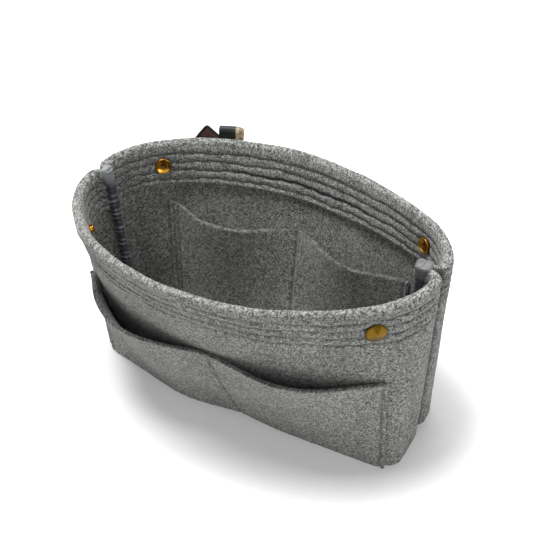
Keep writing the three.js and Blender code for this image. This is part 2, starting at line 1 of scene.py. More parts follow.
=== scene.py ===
"""Felt purse organizer insert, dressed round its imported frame.

Two felt walls with a stitched hem stand round a felt base. Pockets line them, brass press studs sit near the
corners, satin tape binds the end seams, and a leather loop hangs behind. Metres, +Z up, the front faces -Y.
"""

import logging
import math
from dataclasses import dataclass, field
from enum import Enum
from functools import cached_property
from typing import Any, Callable, Sequence

import bpy
import numpy as np
from mathutils import Matrix, Vector, noise


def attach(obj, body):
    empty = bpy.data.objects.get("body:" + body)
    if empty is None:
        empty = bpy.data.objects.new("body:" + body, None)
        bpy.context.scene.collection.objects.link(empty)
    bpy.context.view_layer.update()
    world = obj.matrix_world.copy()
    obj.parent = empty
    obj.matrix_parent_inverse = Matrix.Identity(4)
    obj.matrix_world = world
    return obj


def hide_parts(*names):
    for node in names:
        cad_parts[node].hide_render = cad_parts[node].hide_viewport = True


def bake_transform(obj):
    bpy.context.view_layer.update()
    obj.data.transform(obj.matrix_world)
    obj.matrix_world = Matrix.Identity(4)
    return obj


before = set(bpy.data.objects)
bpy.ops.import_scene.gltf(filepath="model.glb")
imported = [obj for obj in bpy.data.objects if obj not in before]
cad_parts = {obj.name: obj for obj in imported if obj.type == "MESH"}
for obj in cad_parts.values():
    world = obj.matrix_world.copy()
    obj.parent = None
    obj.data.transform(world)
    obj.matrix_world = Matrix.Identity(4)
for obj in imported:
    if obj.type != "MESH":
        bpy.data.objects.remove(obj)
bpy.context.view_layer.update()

LOG = logging.getLogger("insert")
# Point attribute of painted shade: felt darkened in grooves, creases, seam bends and on pocket lips.
PAINTED_SHADE = "sewn"
# Point attribute of painted light: highlights on the tape's gathers, dark reflection and shade on the brass.
PAINTED_LIGHT = "crest"
MM = 0.001
HALF_TURN = math.pi
QUARTER_TURN = HALF_TURN / 2
FULL_TURN = HALF_TURN * 2
EVEN = (1.0, 1.0, 1.0)
WHITE = (1.0, 1.0, 1.0)

Array = np.ndarray
Material = bpy.types.Material
Piece = bpy.types.Object
Triple = tuple[float, float, float]


class Side(Enum):
    """One of the two walls, with its mirror factor across the end seams."""

    FRONT = 1
    BACK = -1


class Slot(Enum):
    """The record's material slots."""

    FELT = "felt"
    TAPE = "tape"
    BRASS = "brass"
    LEATHER = "leather"


@dataclass(frozen=True)
class Grain:
    """A noise pattern: features to the metre, how many finer layers it holds and how strong those are, and the
    turn and stretch of its coordinates."""

    scale: float
    detail: float
    roughness: float
    turn: Triple = (0.0, 0.0, 0.0)
    stretch: Triple = EVEN


@dataclass(frozen=True)
class Value:
    """A shader socket that takes part in sums as a number does."""

    shader: "Shader"
    socket: bpy.types.NodeSocket

    def __add__(self, other: "Value | float") -> "Value":
        """The sum with another value."""
        return self.shader.math("ADD", self, other)

    def __radd__(self, other: float) -> "Value":
        """The sum with a number on the left."""
        return self.shader.math("ADD", other, self)

    def __sub__(self, other: "Value | float") -> "Value":
        """The difference from another value."""
        return self.shader.math("SUBTRACT", self, other)

    def __rsub__(self, other: float) -> "Value":
        """The difference of a number on the left."""
        return self.shader.math("SUBTRACT", other, self)

    def __mul__(self, other: "Value | float") -> "Value":
        """The product with another value."""
        return self.shader.math("MULTIPLY", self, other)

    def __rmul__(self, other: float) -> "Value":
        """The product with a number on the left."""
        return self.shader.math("MULTIPLY", other, self)

    def ridge(self) -> "Value":
        """One at the value's half-way level and nothing at both its ends."""
        return 1 - self.shader.math("ABSOLUTE", self * 2 - 1, 0)

    def stretched(self, low: float, high: float) -> "Value":
        """The value eased from 0 at a low level to 1 at a high one, and held there."""
        inputs = {"Value": self, "From Min": low, "From Max": high}
        return self.shader.node("ShaderNodeMapRange", {"interpolation_type": "SMOOTHSTEP"}, inputs, "Result")


class Shader:
    """The node tree of a material or of the world, with one method that adds any node."""

    def __init__(self, owner: Any, output: str = "ShaderNodeOutputMaterial") -> None:
        """Empties the tree and gives it its output.

        Args:
            owner: The material or the world.
            output: The type of the output node.
        """
        owner.use_nodes = True
        owner.node_tree.nodes.clear()
        self.owner = owner
        self.tree = owner.node_tree
        self.output = self.tree.nodes.new(output)

    def node(self, kind: str, settings: dict[str, Any], inputs: dict[Any, Any], output: Any) -> Value:
        """Adds a node.

        Args:
            kind: The node's type.
            settings: Its own settings, set first. A key "stops" holds a ramp's stops.
            inputs: Values or links by socket name or number.
            output: The name or number of the output that is wanted.

        Returns:
            That output.
        """
        made = self.tree.nodes.new(kind)
        for key, value in settings.items():
            if key == "stops":
                self.set_stops(made.color_ramp, value)
            else:
                setattr(made, key, value)
        for key, value in inputs.items():
            if isinstance(value, Value):
                self.tree.links.new(value.socket, made.inputs[key])
            else:
                made.inputs[key].default_value = value
        return Value(self, made.outputs[output])

    @staticmethod
    def set_stops(ramp: bpy.types.ColorRamp, stops: Sequence[tuple[float, Triple]]) -> None:
        """Gives a colour ramp its stops.

        Args:
            ramp: The ramp.
            stops: Each stop's place and colour, in order.
        """
        while len(ramp.elements) < len(stops):
            ramp.elements.new(1.0)
        for element, (place, colour) in zip(ramp.elements, stops):
            element.position = place
            element.color = (*colour, 1.0)

    def math(self, operation: str, first: Value | float, second: Value | float) -> Value:
        """Adds a Math node for two values or numbers."""
        return self.node("ShaderNodeMath", {"operation": operation}, {0: first, 1: second}, "Value")

    @cached_property
    def place(self) -> Value:
        """The object's own coordinates."""
        return self.node("ShaderNodeTexCoord", {}, {}, "Object")

    def attribute(self, name: str) -> Value:
        """What a piece is marked with."""
        return self.node("ShaderNodeAttribute", {"attribute_name": name}, {}, "Fac")

    def seen(self) -> Value:
        """Tells the camera's rays from those that light the scene.

        Returns:
            One for rays straight from the camera, off what mirrors and through what lets light by.
        """
        rays = ("Is Camera Ray", "Is Glossy Ray", "Is Transmission Ray")
        straight, mirrored, through = (self.node("ShaderNodeLightPath", {}, {}, ray) for ray in rays)
        return self.math("MAXIMUM", self.math("MAXIMUM", straight, mirrored), through)

    def noise(self, grain: Grain) -> Value:
        """Adds a noise pattern on the object's own coordinates.

        Args:
            grain: What the pattern is like.

        Returns:
            The pattern, from 0 to 1.
        """
        place = self.place
        if grain.stretch != EVEN:
            inputs = {"Vector": place, "Rotation": grain.turn, "Scale": grain.stretch}
            place = self.node("ShaderNodeMapping", {}, inputs, "Vector")
        inputs = {"Vector": place, "Scale": grain.scale, "Detail": grain.detail, "Roughness": grain.roughness}
        return self.node("ShaderNodeTexNoise", {}, inputs, "Fac")

    def ramp(self, factor: Value, stops: Sequence[tuple[float, Triple]]) -> Value:
        """Colours a value by stops."""
        return self.node("ShaderNodeValToRGB", {"stops": stops}, {"Fac": factor}, "Color")

    def between(self, factor: Value, low: Triple, high: Triple) -> Value:
        """Colours a value by two colours, at 0 and at 1."""
        return self.ramp(factor, ((0.0, low), (1.0, high)))

    def mix(self, factor: Value, first: Value, second: Value | Triple) -> Value:
        """Mixes two colours, by how much the second one shows."""
        inputs = {"Factor": factor, 6: first, 7: second if isinstance(second, Value) else (*second, 1.0)}
        return self.node("ShaderNodeMix", {"data_type": "RGBA"}, inputs, 2)

    def bump(self, height: Value, distance: float, strength: float) -> Value:
        """Turns a height into a normal, by the metres that a height of 1 measures and how much of it shows."""
        inputs = {"Height": height, "Distance": distance, "Strength": strength}
        return self.node("ShaderNodeBump", {}, inputs, "Normal")

    def show(self, surface: Value) -> Any:
        """Ends the tree in a surface, and gives back its material or world."""
        self.tree.links.new(surface.socket, self.output.inputs["Surface"])
        return self.owner

    def finish(self, **inputs: Any) -> Material:
        """Ends the material in one Principled shader, whose sockets have underscores for spaces here."""
        named = {key.replace("_", " "): value for key, value in inputs.items()}
        return self.show(self.node("ShaderNodeBsdfPrincipled", {}, named, "BSDF"))


FIBRE_TURNS = ((0.6, 0.2, 0.5), (0.4, 1.1, 2.4), (2.2, 0.3, 1.1))


@dataclass(frozen=True)
class FeltFinish:
    """Marled wool felt: dark and pale fibre clumps, single pale hairs on top, and painted shade where marked.
    """

    name: str = "grey_marl_felt"
    clumps: Grain = Grain(430.0, 2.0, 0.6)
    clouds: Grain = Grain(38.0, 3.0, 0.5)
    fibres: Sequence[Grain] = tuple(Grain(1150.0, 2.0, 0.55, turn, (1.0, 0.42, 1.0)) for turn in FIBRE_TURNS)
    hairs: Sequence[Grain] = tuple(Grain(800.0, 2.0, 0.55, turn, (1.0, 0.12, 1.0)) for turn in FIBRE_TURNS[:2])
    fibre_contrast: float = 2.0
    clump_contrast: float = 0.5
    cloud_contrast: float = 0.16
    hair_core: tuple[float, float] = (0.93, 0.995)
    tones: tuple[tuple[float, Triple], ...] = (
        (0.33, (0.015, 0.017, 0.017)), (0.43, (0.06, 0.063, 0.06)), (0.52, (0.16, 0.166, 0.156)),
        (0.68, (0.42, 0.431, 0.406)),
    )
    hair_tone: Triple = (0.54, 0.55, 0.52)
    hair_share: float = 0.45
    painted_shade_share: float = 0.8
    depth: float = 0.26 * MM

    def material(self) -> Material:
        """Builds the material.

        Returns:
            The material.
        """
        shader = Shader(bpy.data.materials.new(self.name))
        clumps, clouds = shader.noise(self.clumps), shader.noise(self.clouds)
        first, second, third = (shader.noise(grain) for grain in self.fibres)
        fibres = (first + second + third) * (1 / len(self.fibres))
        strands = (shader.noise(grain).ridge().stretched(*self.hair_core) for grain in self.hairs)
        hair = shader.math("MAXIMUM", *strands)
        marl = (fibres - 0.5) * self.fibre_contrast + (clumps - 0.5) * self.clump_contrast
        marl = marl + (clouds - 0.5) * self.cloud_contrast + 0.5
        haired = shader.mix(hair * self.hair_share, shader.ramp(marl, self.tones), self.hair_tone)
        height = fibres * 0.6 + clumps * 0.3 + hair * 0.3
        return shader.finish(
            # Painted shade: marked points darken towards the darkest tone.
            Base_Color=shader.mix(shader.attribute(PAINTED_SHADE) * self.painted_shade_share, haired, self.tones[0][1]),
            Roughness=0.96 - hair * 0.06,
            Sheen_Weight=0.2,
            Sheen_Roughness=0.6,
            Specular_IOR_Level=0.12,
            Normal=shader.bump(height, self.depth, 1.0),
        )


@dataclass(frozen=True)
class TapeFinish:
    """Satin binding tape with fine cross ribs and a soft sheen, painted pale on top and painted shade below."""

    name: str = "satin_tape"
    ribs: Grain = Grain(2600.0, 2.0, 0.5, stretch=(0.15, 0.15, 1.0))
    stains: Grain = Grain(140.0, 4.0, 0.6)
    top: float = 133 * MM
    foot: float = 124 * MM
    ragged: float = 12 * MM
    shaded: Triple = (0.02, 0.022, 0.03)
    low: Triple = (0.05, 0.055, 0.066)
    crest: Triple = (0.17, 0.18, 0.21)
    high: Triple = (0.15, 0.153, 0.152)
    dull_share: float = 0.7

    def material(self) -> Material:
        """Builds the material.

        Returns:
            The material.
        """
        shader = Shader(bpy.data.materials.new(self.name))
        ribs, stains = shader.noise(self.ribs), shader.noise(self.stains)
        tone = (ribs * 0.45 + stains * 0.55).stretched(0.3, 0.7)
        height = shader.node("ShaderNodeSeparateXYZ", {}, {"Vector": shader.place}, "Z")
        # Painted light: pale above the foot where the tape folds over the top, painted shade below it.
        raised = (height + (stains - 0.5) * self.ragged).stretched(self.foot, self.top)
        folds = shader.between(tone, self.shaded, self.low)
        # Painted highlight on the gathers' crests, painted shade in the folds between.
        dark = shader.mix(shader.attribute(PAINTED_LIGHT).stretched(0.35, 0.9), folds, self.crest)
        pale = shader.between(tone, tuple(part * self.dull_share for part in self.high), self.high)
        return shader.finish(
            Base_Color=shader.mix(raised, dark, pale),
            Roughness=0.4 + stains * 0.15,
            Sheen_Weight=0.25,
            Sheen_Roughness=0.35,
            Specular_IOR_Level=0.55,
            Normal=shader.bump(ribs, 0.1 * MM, 0.5),
        )


@dataclass(frozen=True)
class BrassFinish:
    """Pressed brass, bright where rubbed and brown with tarnish, with painted reflection and shade where
    marked.
    """

    name: str
    rubbed: Triple
    brown: Triple
    tarnish: Grain = Grain(420.0, 5.0, 0.6)
    scratches: Grain = Grain(5200.0, 2.0, 0.5, (0.4, 0.3, 0.6), (1.0, 0.05, 1.0))

    def material(self) -> Material:
        """Builds the material.

        Returns:
            The material.
        """
        shader = Shader(bpy.data.materials.new(self.name))
        # Random tarnish plus painted reflection (the dark sector facing up) and painted shade (the rim and the
        # socket's hub).
        tarnish = shader.noise(self.tarnish).stretched(0.3, 0.8) * 0.5 + shader.attribute(PAINTED_LIGHT)
        scratches = shader.noise(self.scratches)
        return shader.finish(
            Base_Color=shader.between(tarnish, self.rubbed, self.brown),
            Metallic=1.0,
            Roughness=0.17 + tarnish * 0.12 + scratches * 0.06,
            Normal=shader.bump(scratches, 0.01 * MM, 0.2),
        )


@dataclass(frozen=True)
class LeatherFinish:
    """One side of the strap: its grain, its suede back or its cut edge."""

    name: str
    low: Triple
    high: Triple
    roughness: float
    cell_scale: float
    depth: float
    coat: float

    def material(self) -> Material:
        """Builds the material.

        Returns:
            The material.
        """
        shader = Shader(bpy.data.materials.new(self.name))
        inputs = {"Vector": shader.place, "Scale": self.cell_scale}
        cells = shader.node("ShaderNodeTexVoronoi", {"feature": "DISTANCE_TO_EDGE"}, inputs, "Distance")
        mottle = shader.noise(Grain(self.cell_scale * 0.3, 4.0, 0.6))
        fine = shader.noise(Grain(self.cell_scale * 3.0, 3.0, 0.6))
        tone = (mottle * 0.6 + fine * 0.4).stretched(0.35, 0.68)
        return shader.finish(
            Base_Color=shader.between(tone, self.low, self.high),
            Roughness=self.roughness + fine * 0.14,
            Specular_IOR_Level=0.22,
            Coat_Weight=self.coat,
            Coat_Roughness=0.35,
            Normal=shader.bump(cells.stretched(0.0, 0.25) * 0.6 + fine * 0.4, self.depth, 0.7),
        )


@dataclass(frozen=True)
class ThreadFinish:
    """Twisted sewing thread."""

    name: str
    low: Triple
    high: Triple
    twist: Grain = Grain(3200.0, 2.0, 0.5, (0.0, 0.5, 0.6), (1.0, 0.2, 1.0))
    spread: Grain = Grain(160.0, 3.0, 0.6)

    def material(self) -> Material:
        """Builds the material.

        Returns:
            The material.
        """
        shader = Shader(bpy.data.materials.new(self.name))
        twist = shader.noise(self.twist)
        tone = (twist * 0.5 + shader.noise(self.spread) * 0.5).stretched(0.34, 0.66)
        return shader.finish(
            Base_Color=shader.between(tone, self.low, self.high),
            Roughness=0.75 + twist * 0.1,
            Sheen_Weight=0.2,
            Normal=shader.bump(twist, 0.1 * MM, 0.7),
        )


@dataclass(frozen=True)
class FloorFinish:
    """Seamless studio paper with a light of its own for the camera: faint near the insert, white far out."""

    name: str = "studio_paper"
    grain: Grain = Grain(90.0, 3.0, 0.5)
    paper: Triple = (0.74, 0.74, 0.735)
    fleck: float = 1.02
    glow: float = 0.16
    oval: Triple = (0.7, 1.0, 1.0)
    lift_start: float = 0.076
    lift_end: float = 0.165

    def material(self) -> Material:
        """Builds the material.

        Returns:
            The material.
        """
        shader = Shader(bpy.data.materials.new(self.name))
        flecks = ((0.3, self.paper), (0.7, tuple(part * self.fleck for part in self.paper)))
        tone = shader.ramp(shader.noise(self.grain), flecks)
        paper = shader.node("ShaderNodeBsdfDiffuse", {}, {"Color": tone}, "BSDF")
        inputs = {0: shader.place, 1: self.oval}
        oval = shader.node("ShaderNodeVectorMath", {"operation": "MULTIPLY"}, inputs, "Vector")
        distance = shader.node("ShaderNodeVectorMath", {"operation": "LENGTH"}, {0: oval}, "Value")
        glow = shader.between(distance.stretched(self.lift_start, self.lift_end), (self.glow,) * 3, WHITE)
        light = shader.node("ShaderNodeEmission", {}, {"Color": glow, "Strength": shader.seen()}, "Emission")
        return shader.show(shader.node("ShaderNodeAddShader", {}, {0: paper, 1: light}, 0))


def held(share: Any) -> Any:
    """A share kept between 0 and 1."""
    return np.clip(share, 0, 1)


def eased(share: Any) -> Any:
    """A share that starts and stops gently."""
    return share * share * (3 - 2 * share)


def unit(vectors: Array) -> Array:
    """Vectors along the last axis, brought to length 1."""
    return vectors / (np.linalg.norm(vectors, axis=-1, keepdims=True) + 1e-12)


def blunted(wave: Array, power: float) -> Array:
    """A sine or cosine raised to a power with its sign kept, as the outline of a blunt oval has it."""
    return np.sign(wave) * np.abs(wave) ** power


def passed(line: Array) -> Array:
    """How far along a line each of its points lies."""
    return np.concatenate(([0.0], np.cumsum(np.linalg.norm(np.diff(line, axis=0), axis=1))))


@dataclass(frozen=True)
class Corner:
    """A corner of a section: its place, its rounding and the step of the points after it."""

    across: float
    up: float
    radius: float
    step: float


def rounded_section(corners: Sequence[Corner], arc_steps: int = 5) -> Array:
    """The closed outline of a section whose square corners are rounded.

    Args:
        corners: The corners, in order.
        arc_steps: Steps round each corner.

    Returns:
        The outline's points, one row each, without repeats.
    """
    points: list[Array] = []
    places = [np.array((corner.across, corner.up)) for corner in corners]
    for i, corner in enumerate(corners):
        after = (i + 1) % len(corners)
        back, ahead = unit(places[i - 1] - places[i]), unit(places[after] - places[i])
        bent = [places[i]]
        if corner.radius > 0:
            centre = places[i] + (back + ahead) * corner.radius
            bent = [
                centre - ahead * corner.radius * math.cos(angle) - back * corner.radius * math.sin(angle)
                for angle in np.linspace(0, QUARTER_TURN, arc_steps + 1)
            ]
        start, stop = bent[-1], places[after] - ahead * corners[after].radius
        steps = max(1, round(np.linalg.norm(stop - start) / corner.step))
        for point in bent + [start + (stop - start) * k / steps for k in range(1, steps)]:
            if not points or np.linalg.norm(point - points[-1]) > 0.001 * MM:
                points.append(point)
    return np.array(points)


def ring_normals(rings: Array) -> Array:
    """The outward normals of a strip of closed rings.

    Args:
        rings: Points by ring, place in the ring, and axis.

    Returns:
        Normals in the same order.
    """
    around = np.roll(rings, -1, axis=1) - np.roll(rings, 1, axis=1)
    normals = unit(np.cross(np.gradient(rings, axis=0), around))
    outward = np.sum((rings - rings.mean(axis=1, keepdims=True)) * normals)
    return normals if outward > 0 else -normals


def felted(points: Array, normals: Array, depth: float = 0.3 * MM, size: float = 3.2 * MM) -> Array:
    """Gives a surface the uneven lie of felt.

    Args:
        points: The surface's points, by any number of axes before the last.
        normals: Their normals.
        depth: How far the surface comes and goes.
        size: How wide its clumps are.

    Returns:
        The points, moved.
    """
    flat = points.reshape(-1, 3) / size
    lift = np.array([noise.noise(Vector(point)) for point in flat]).reshape(points.shape[:-1])
    return points + normals * (lift * depth)[..., None]


def new_piece(name: str, vertices: Any, faces: Any, materials: Sequence[Material]) -> Piece:
    """Makes a smooth mesh object whose faces point out.

    Args:
        name: The object's name.
        vertices: Its points.
        faces: Its faces, as point numbers.
        materials: Its materials.

    Returns:
        The object.
    """
    mesh = bpy.data.meshes.new(name)
    mesh.from_pydata([tuple(point) for point in vertices], [], faces)
    for material in materials:
        mesh.materials.append(material)
    piece = bpy.data.objects.new(name, mesh)
    bpy.context.scene.collection.objects.link(piece)
    bpy.ops.object.select_all(action="DESELECT")
    piece.select_set(True)
    bpy.context.view_layer.objects.active = piece
    bpy.ops.object.mode_set(mode="EDIT")
    bpy.ops.mesh.select_all(action="SELECT")
    bpy.ops.mesh.normals_make_consistent(inside=False)
    bpy.ops.object.mode_set(mode="OBJECT")
    bpy.ops.object.shade_smooth()
    return piece


def ring_faces(rings: int, size: int) -> list[tuple[int, ...]]:
    """The faces of a strip of closed rings with both its ends capped.

    Args:
        rings: How many rings.
        size: Points in each ring.

    Returns:
        The faces, as point numbers.
    """
    faces: list[tuple[int, ...]] = []
    for start in range(0, (rings - 1) * size, size):
        for j in range(size):
            a, b = start + j, start + (j + 1) % size
            faces.append((a, b, b + size, a + size))
    faces.append(tuple(range(size)))
    faces.append(tuple(range(rings * size - 1, (rings - 1) * size - 1, -1)))
    return faces


def strip_piece(name: str, rings: Array, *materials: Material) -> Piece:
    """A closed solid through rings, given by ring, place in the ring and axis, with its finishes."""
    return new_piece(name, rings.reshape(-1, 3), ring_faces(*rings.shape[:2]), materials)


def mark(piece: Piece, name: str, amount: Array) -> None:
    """Marks each point with a share from 0 to 1, for painted shade, highlight or reflection in its finish."""
    attribute = piece.data.attributes.new(name, "FLOAT", "POINT")
    attribute.data.foreach_set("value", held(amount).astype(np.float32).ravel())


def fit(piece: Piece, slot: Slot, *nodes: str) -> None:
    """Fastens a finished piece to the frame.

    Args:
        piece: The piece.
        slot: Not used.
        *nodes: The CAD nodes that it stands for.
    """
    if nodes:
        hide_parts(*nodes)
    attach(piece, "insert")
    LOG.info("%s: %d points", piece.name, len(piece.data.vertices))


@dataclass(frozen=True)
class WallForm:
    """What one wall has for itself: its foot's corner radii, its mouth's depth and skew, the phase of its sway,
    and the share and spread of its crease."""

    radii: Triple
    depth: float
    skew: float
    phase: float
    crease: tuple[float, float]


WALL_FORMS = {
    Side.FRONT: WallForm((6 * MM, 60 * MM, 10 * MM), 90.7 * MM, -0.04, 0.7, (0.25, 0.13)),
    Side.BACK: WallForm((6 * MM, 60 * MM, 28 * MM), 80.3 * MM, -0.107, 2.9, (0.5, 0.17)),
}


@dataclass(frozen=True)
class WallShape:
    """The surface that both walls, their pockets and their fittings follow. Lengths in metres."""

    felt: float = 3.2 * MM
    clearance: float = 0.3 * MM
    height: float = 136 * MM
    hem: float = 31 * MM
    snap_share: float = 0.15
    snap_drop: float = 17.5 * MM
    base_places: tuple[tuple[float, float], ...] = (
        (-124 * MM, -25 * MM), (-48 * MM, -43 * MM), (107 * MM, -40 * MM),
    )
    base_arc_points: int = 240
    mouth_half_length: float = 123.3 * MM
    mouth_shift: tuple[float, float] = (-9.3 * MM, -4.6 * MM)
    mouth_exponent: float = 1.88
    mouth_points: int = 1200
    seam_bend: float = 1.6 * MM
    allowances: tuple[float, float] = (4.3 * MM, 8.4 * MM)
    pinches: tuple[float, float] = (0.36, 0.5)
    probe_share: float = 0.004
    sway: float = 0.9 * MM
    sway_waves: tuple[tuple[float, ...], ...] = (
        (0.5, 2.6, 1.0, 0.0), (0.32, 4.9, 2.3, 20.0), (0.18, 9.3, 3.1, -33.0),
    )
    pull: float = 3.2 * MM
    pull_share: float = 0.5
    pull_spread: float = 0.075
    pull_height: float = 60 * MM
    outlines: dict[Any, Array] = field(default_factory=dict, compare=False)

    @property
    def turn_radius(self) -> float:
        """The outer radius of the bend into a seam."""
        return 2 * self.felt + self.seam_bend

    @property
    def seam_y(self) -> float:
        """Where a wall's ends stop short of the seam."""
        return -(self.turn_radius + self.clearance / 2)

    @property
    def above_base(self) -> float:
        """The height at which what stands on the base starts."""
        return self.felt + self.clearance

    def pinch(self, end: int) -> float:
        """The share of its thickness to which the binding presses a panel's left end (-1) or right one (1)."""
        return self.pinches[end > 0]

    def allowance(self, end: int) -> float:
        """How far a panel's raw edge runs past its bend at an end."""
        return self.allowances[end > 0]

    def base_outline(self, side: Side) -> Array:
        """Half of the base outline, from the left seam round a wall's foot to the right seam.

        Args:
            side: Which wall.

        Returns:
            Its points as x and y, before the back one is mirrored.
        """
        places = [np.array(place) for place in self.base_places]
        first, last = (np.array((place[0], self.seam_y)) for place in (places[0], places[-1]))
        points = [first[None]]
        around = zip(places, [first, *places[:-1]], [*places[1:], last], WALL_FORMS[side].radii)
        for place, before, after, radius in around:
            back, ahead = unit(before - place), unit(after - place)
            half = math.acos(float(back @ ahead)) / 2
            middle = place + unit(back + ahead) * radius / math.sin(half)
            ends = [place + way * radius / math.tan(half) - middle for way in (back, ahead)]
            start, stop = (math.atan2(end[1], end[0]) for end in ends)
            turn = np.linspace(start, stop if stop > start else stop + FULL_TURN, self.base_arc_points)
            points.append(middle + np.stack((np.cos(turn), np.sin(turn)), axis=1) * radius)
        return np.vstack((*points, last))

    def mouth_outline(self, side: Side) -> Array:
        """Half of the mouth's oval, from the left seam to the right seam.

        Args:
            side: Which wall.

        Returns:
            Its points as x and y, before the back one is mirrored.
        """
        form = WALL_FORMS[side]
        angle = np.linspace(0, HALF_TURN, self.mouth_points)
        power = 2 / self.mouth_exponent
        bulge = np.abs(np.sin(angle)) ** power * (1 - form.skew * np.cos(angle))
        x = self.mouth_half_length * blunted(-np.cos(angle), power) + self.mouth_shift[0]
        y = self.seam_y - (form.depth + self.seam_y) * bulge + side.value * self.mouth_shift[1]
        return np.stack((x, y), axis=1)

    def even(self, key: Any, make: Callable[[], Array]) -> Array:
        """An outline with even steps along its length, kept once it is made.

        Args:
            key: The name under which it is kept.
            make: What makes its points.

        Returns:
            Shares, x, y and lengths passed, one column each.
        """
        if key not in self.outlines:
            points = make()
            along = passed(points)
            self.outlines[key] = np.column_stack((along / along[-1], points, along))
        return self.outlines[key]

    def outline(self, side: Side, share: Array, z: Array) -> Array:
        """The wall's outer line, before the back one is mirrored.

        Args:
            side: Which wall.
            share: Shares of the way from the left seam to the right seam.
            z: Heights.

        Returns:
            x and y on the last axis.
        """
        share = held(share)
        lines = (
            self.even((side, "base"), lambda: self.base_outline(side)),
            self.even(side, lambda: self.mouth_outline(side)),
        )
        foot, rim = (
            np.stack([np.interp(share, line[:, 0], line[:, axis]) for axis in (1, 2)], axis=-1)
            for line in lines
        )
        place = foot + (rim - foot) * np.expand_dims(z / self.height, -1)
        if side is Side.FRONT:
            bell = np.exp(-(((share - self.pull_share) / self.pull_spread) ** 2))
            place[..., 1] += self.pull * bell * held(1 - z / self.pull_height) ** 2
        return place

    def soft_sway(self, side: Side, share: Array, z: Array) -> Array:
        """How far the soft wall gives inwards, nothing at the floor and at the seams.

        Args:
            side: Which wall.
            share: Shares of the way from the left seam to the right seam.
            z: Heights.

        Returns:
            Depths.
        """
        phase = WALL_FORMS[side].phase
        waves = sum(
            part * np.sin(FULL_TURN * pace * share + shift * phase + climb * z)
            for part, pace, shift, climb in self.sway_waves
        )
        return self.sway * waves * held(8 * share * (1 - share)) * eased(held(z / self.height))

    def point(self, side: Side, share: Any, z: Any, depth: Any, swayed: bool = True) -> Array:
        """Points of a wall at a depth inside its outer face.

        Args:
            side: Which wall.
            share: Shares of the way from the left seam to the right seam.
            z: Heights.
            depth: Depths, less than nothing outside the wall.
            swayed: Whether the wall gives as felt does.

        Returns:
            x, y and z on the last axis.
        """
        share, z, depth = np.broadcast_arrays(*(np.asarray(part, float) for part in (share, z, depth)))
        place = self.outline(side, share, z)
        ahead, behind = (self.outline(side, share + step, z) for step in (self.probe_share, -self.probe_share))
        along = unit(ahead - behind)
        inward = depth + self.soft_sway(side, share, z) if swayed else depth
        x = place[..., 0] - along[..., 1] * inward
        y = side.value * (place[..., 1] + along[..., 0] * inward)
        return np.stack((x, y, z), axis=-1)

    def seam_point(self, side: Side, end: int, turn: float, run: float, z: Any, depth: Any) -> Array:
        """Points of a panel's turned end: round the bend into the seam, then along the seam allowance.

        Args:
            side: Which wall.
            end: -1 for the left end and 1 for the right one.
            turn: How far round the bend, in radians.
            run: How far along the seam allowance.
            z: Heights.
            depth: Depths inside the outer face.

        Returns:
            x, y and z on the last axis.
        """
        z, depth = np.broadcast_arrays(np.asarray(z, float), np.asarray(depth, float))
        corner = self.outline(side, np.full(z.shape, float(end > 0)), z)
        radius = self.turn_radius - depth
        x = corner[..., 0] - end * (self.turn_radius + run) + end * radius * math.cos(turn)
        y = side.value * (corner[..., 1] + radius * math.sin(turn))
        return np.stack((x, y, z), axis=-1)

    def length(self, side: Side) -> float:
        """A wall's length along the mouth."""
        return float(self.even(side, lambda: self.mouth_outline(side))[-1, 3])

    def seat(self, side: Side, share: float, z: float) -> tuple[Vector, Vector]:
        """A place on a wall's outer face and the way out of it.

        Args:
            side: Which wall.
            share: The share of the way from the left seam to the right seam.
            z: The height.

        Returns:
            The place and the outward unit vector.
        """
        step = self.probe_share
        shares = share + np.array((0.0, step, -step, 0.0, 0.0))
        heights = z + np.array((0.0, 0.0, 0.0, MM, -MM))
        place, ahead, behind, above, below = (Vector(point) for point in self.point(side, shares, heights, 0.0))
        return place, ((ahead - behind).cross(above - below) * side.value).normalized()


@dataclass
class Stitcher:
    """Sews rows of stitches along lines on the felt."""

    material: Material
    pitch: float = 3.5 * MM
    stitch: float = 2.9 * MM
    radius: float = 0.42 * MM
    sink: float = 1.1
    fullness: float = 0.94
    sides: int = 6
    rings: int = 5
    vertices: list[Array] = field(default_factory=list)

    def sew(self, line: Array, out: Array) -> None:
        """Adds a row of stitches.

        Args:
            line: Points along the row.
            out: The way out of the felt at each point.
        """
        along = passed(line)
        count = int(along[-1] / self.pitch)
        margin = (along[-1] - count * self.pitch) / 2
        for start in margin + np.arange(count) * self.pitch:
            spans = np.linspace(start, start + self.stitch, self.rings)
            centres, ways = (
                np.stack([np.interp(spans, along, part[:, axis]) for axis in range(3)], axis=1)
                for part in (line, out)
            )
            self.add_stitch(centres, unit(ways))

    def add_stitch(self, centres: Array, ways: Array) -> None:
        """Adds one stitch: a short thread that dips into the felt at both ends.

        Args:
            centres: Points along the stitch.
            ways: The way out of the felt at each.
        """
        across = unit(np.cross(unit(np.gradient(centres, axis=0)), ways))
        share = np.linspace(-1, 1, self.rings)
        full = np.sqrt(held(1 - (share * self.fullness) ** 2))
        sunk = centres - ways * (self.radius * self.sink * share**2)[:, None]
        turn = np.linspace(0, FULL_TURN, self.sides, endpoint=False)[None, :, None]
        ring = across[:, None] * np.cos(turn) + ways[:, None] * np.sin(turn)
        self.vertices.append((sunk[:, None] + ring * (self.radius * full)[:, None, None]).reshape(-1, 3))

    def finish(self, name: str) -> Piece:
        """Makes all the stitches into one piece.

        Args:
            name: The piece's name.

        Returns:
            The piece.
        """
        size = self.rings * self.sides
        pattern = ring_faces(self.rings, self.sides)
        faces = [
            tuple(number + stitch * size for number in face)
            for stitch in range(len(self.vertices))
            for face in pattern
        ]
        return new_piece(name, np.vstack(self.vertices), faces, [self.material])


@dataclass(frozen=True)
class Stop:
    """A place along a panel: a share of the wall, or a turn round an end's bend with a run past it."""

    end: int
    share: float = 0.0
    turn: float = 0.0
    run: float = 0.0

    @property
    def turned(self) -> float:
        """The share of the bend that it has gone round."""
        return self.turn / QUARTER_TURN


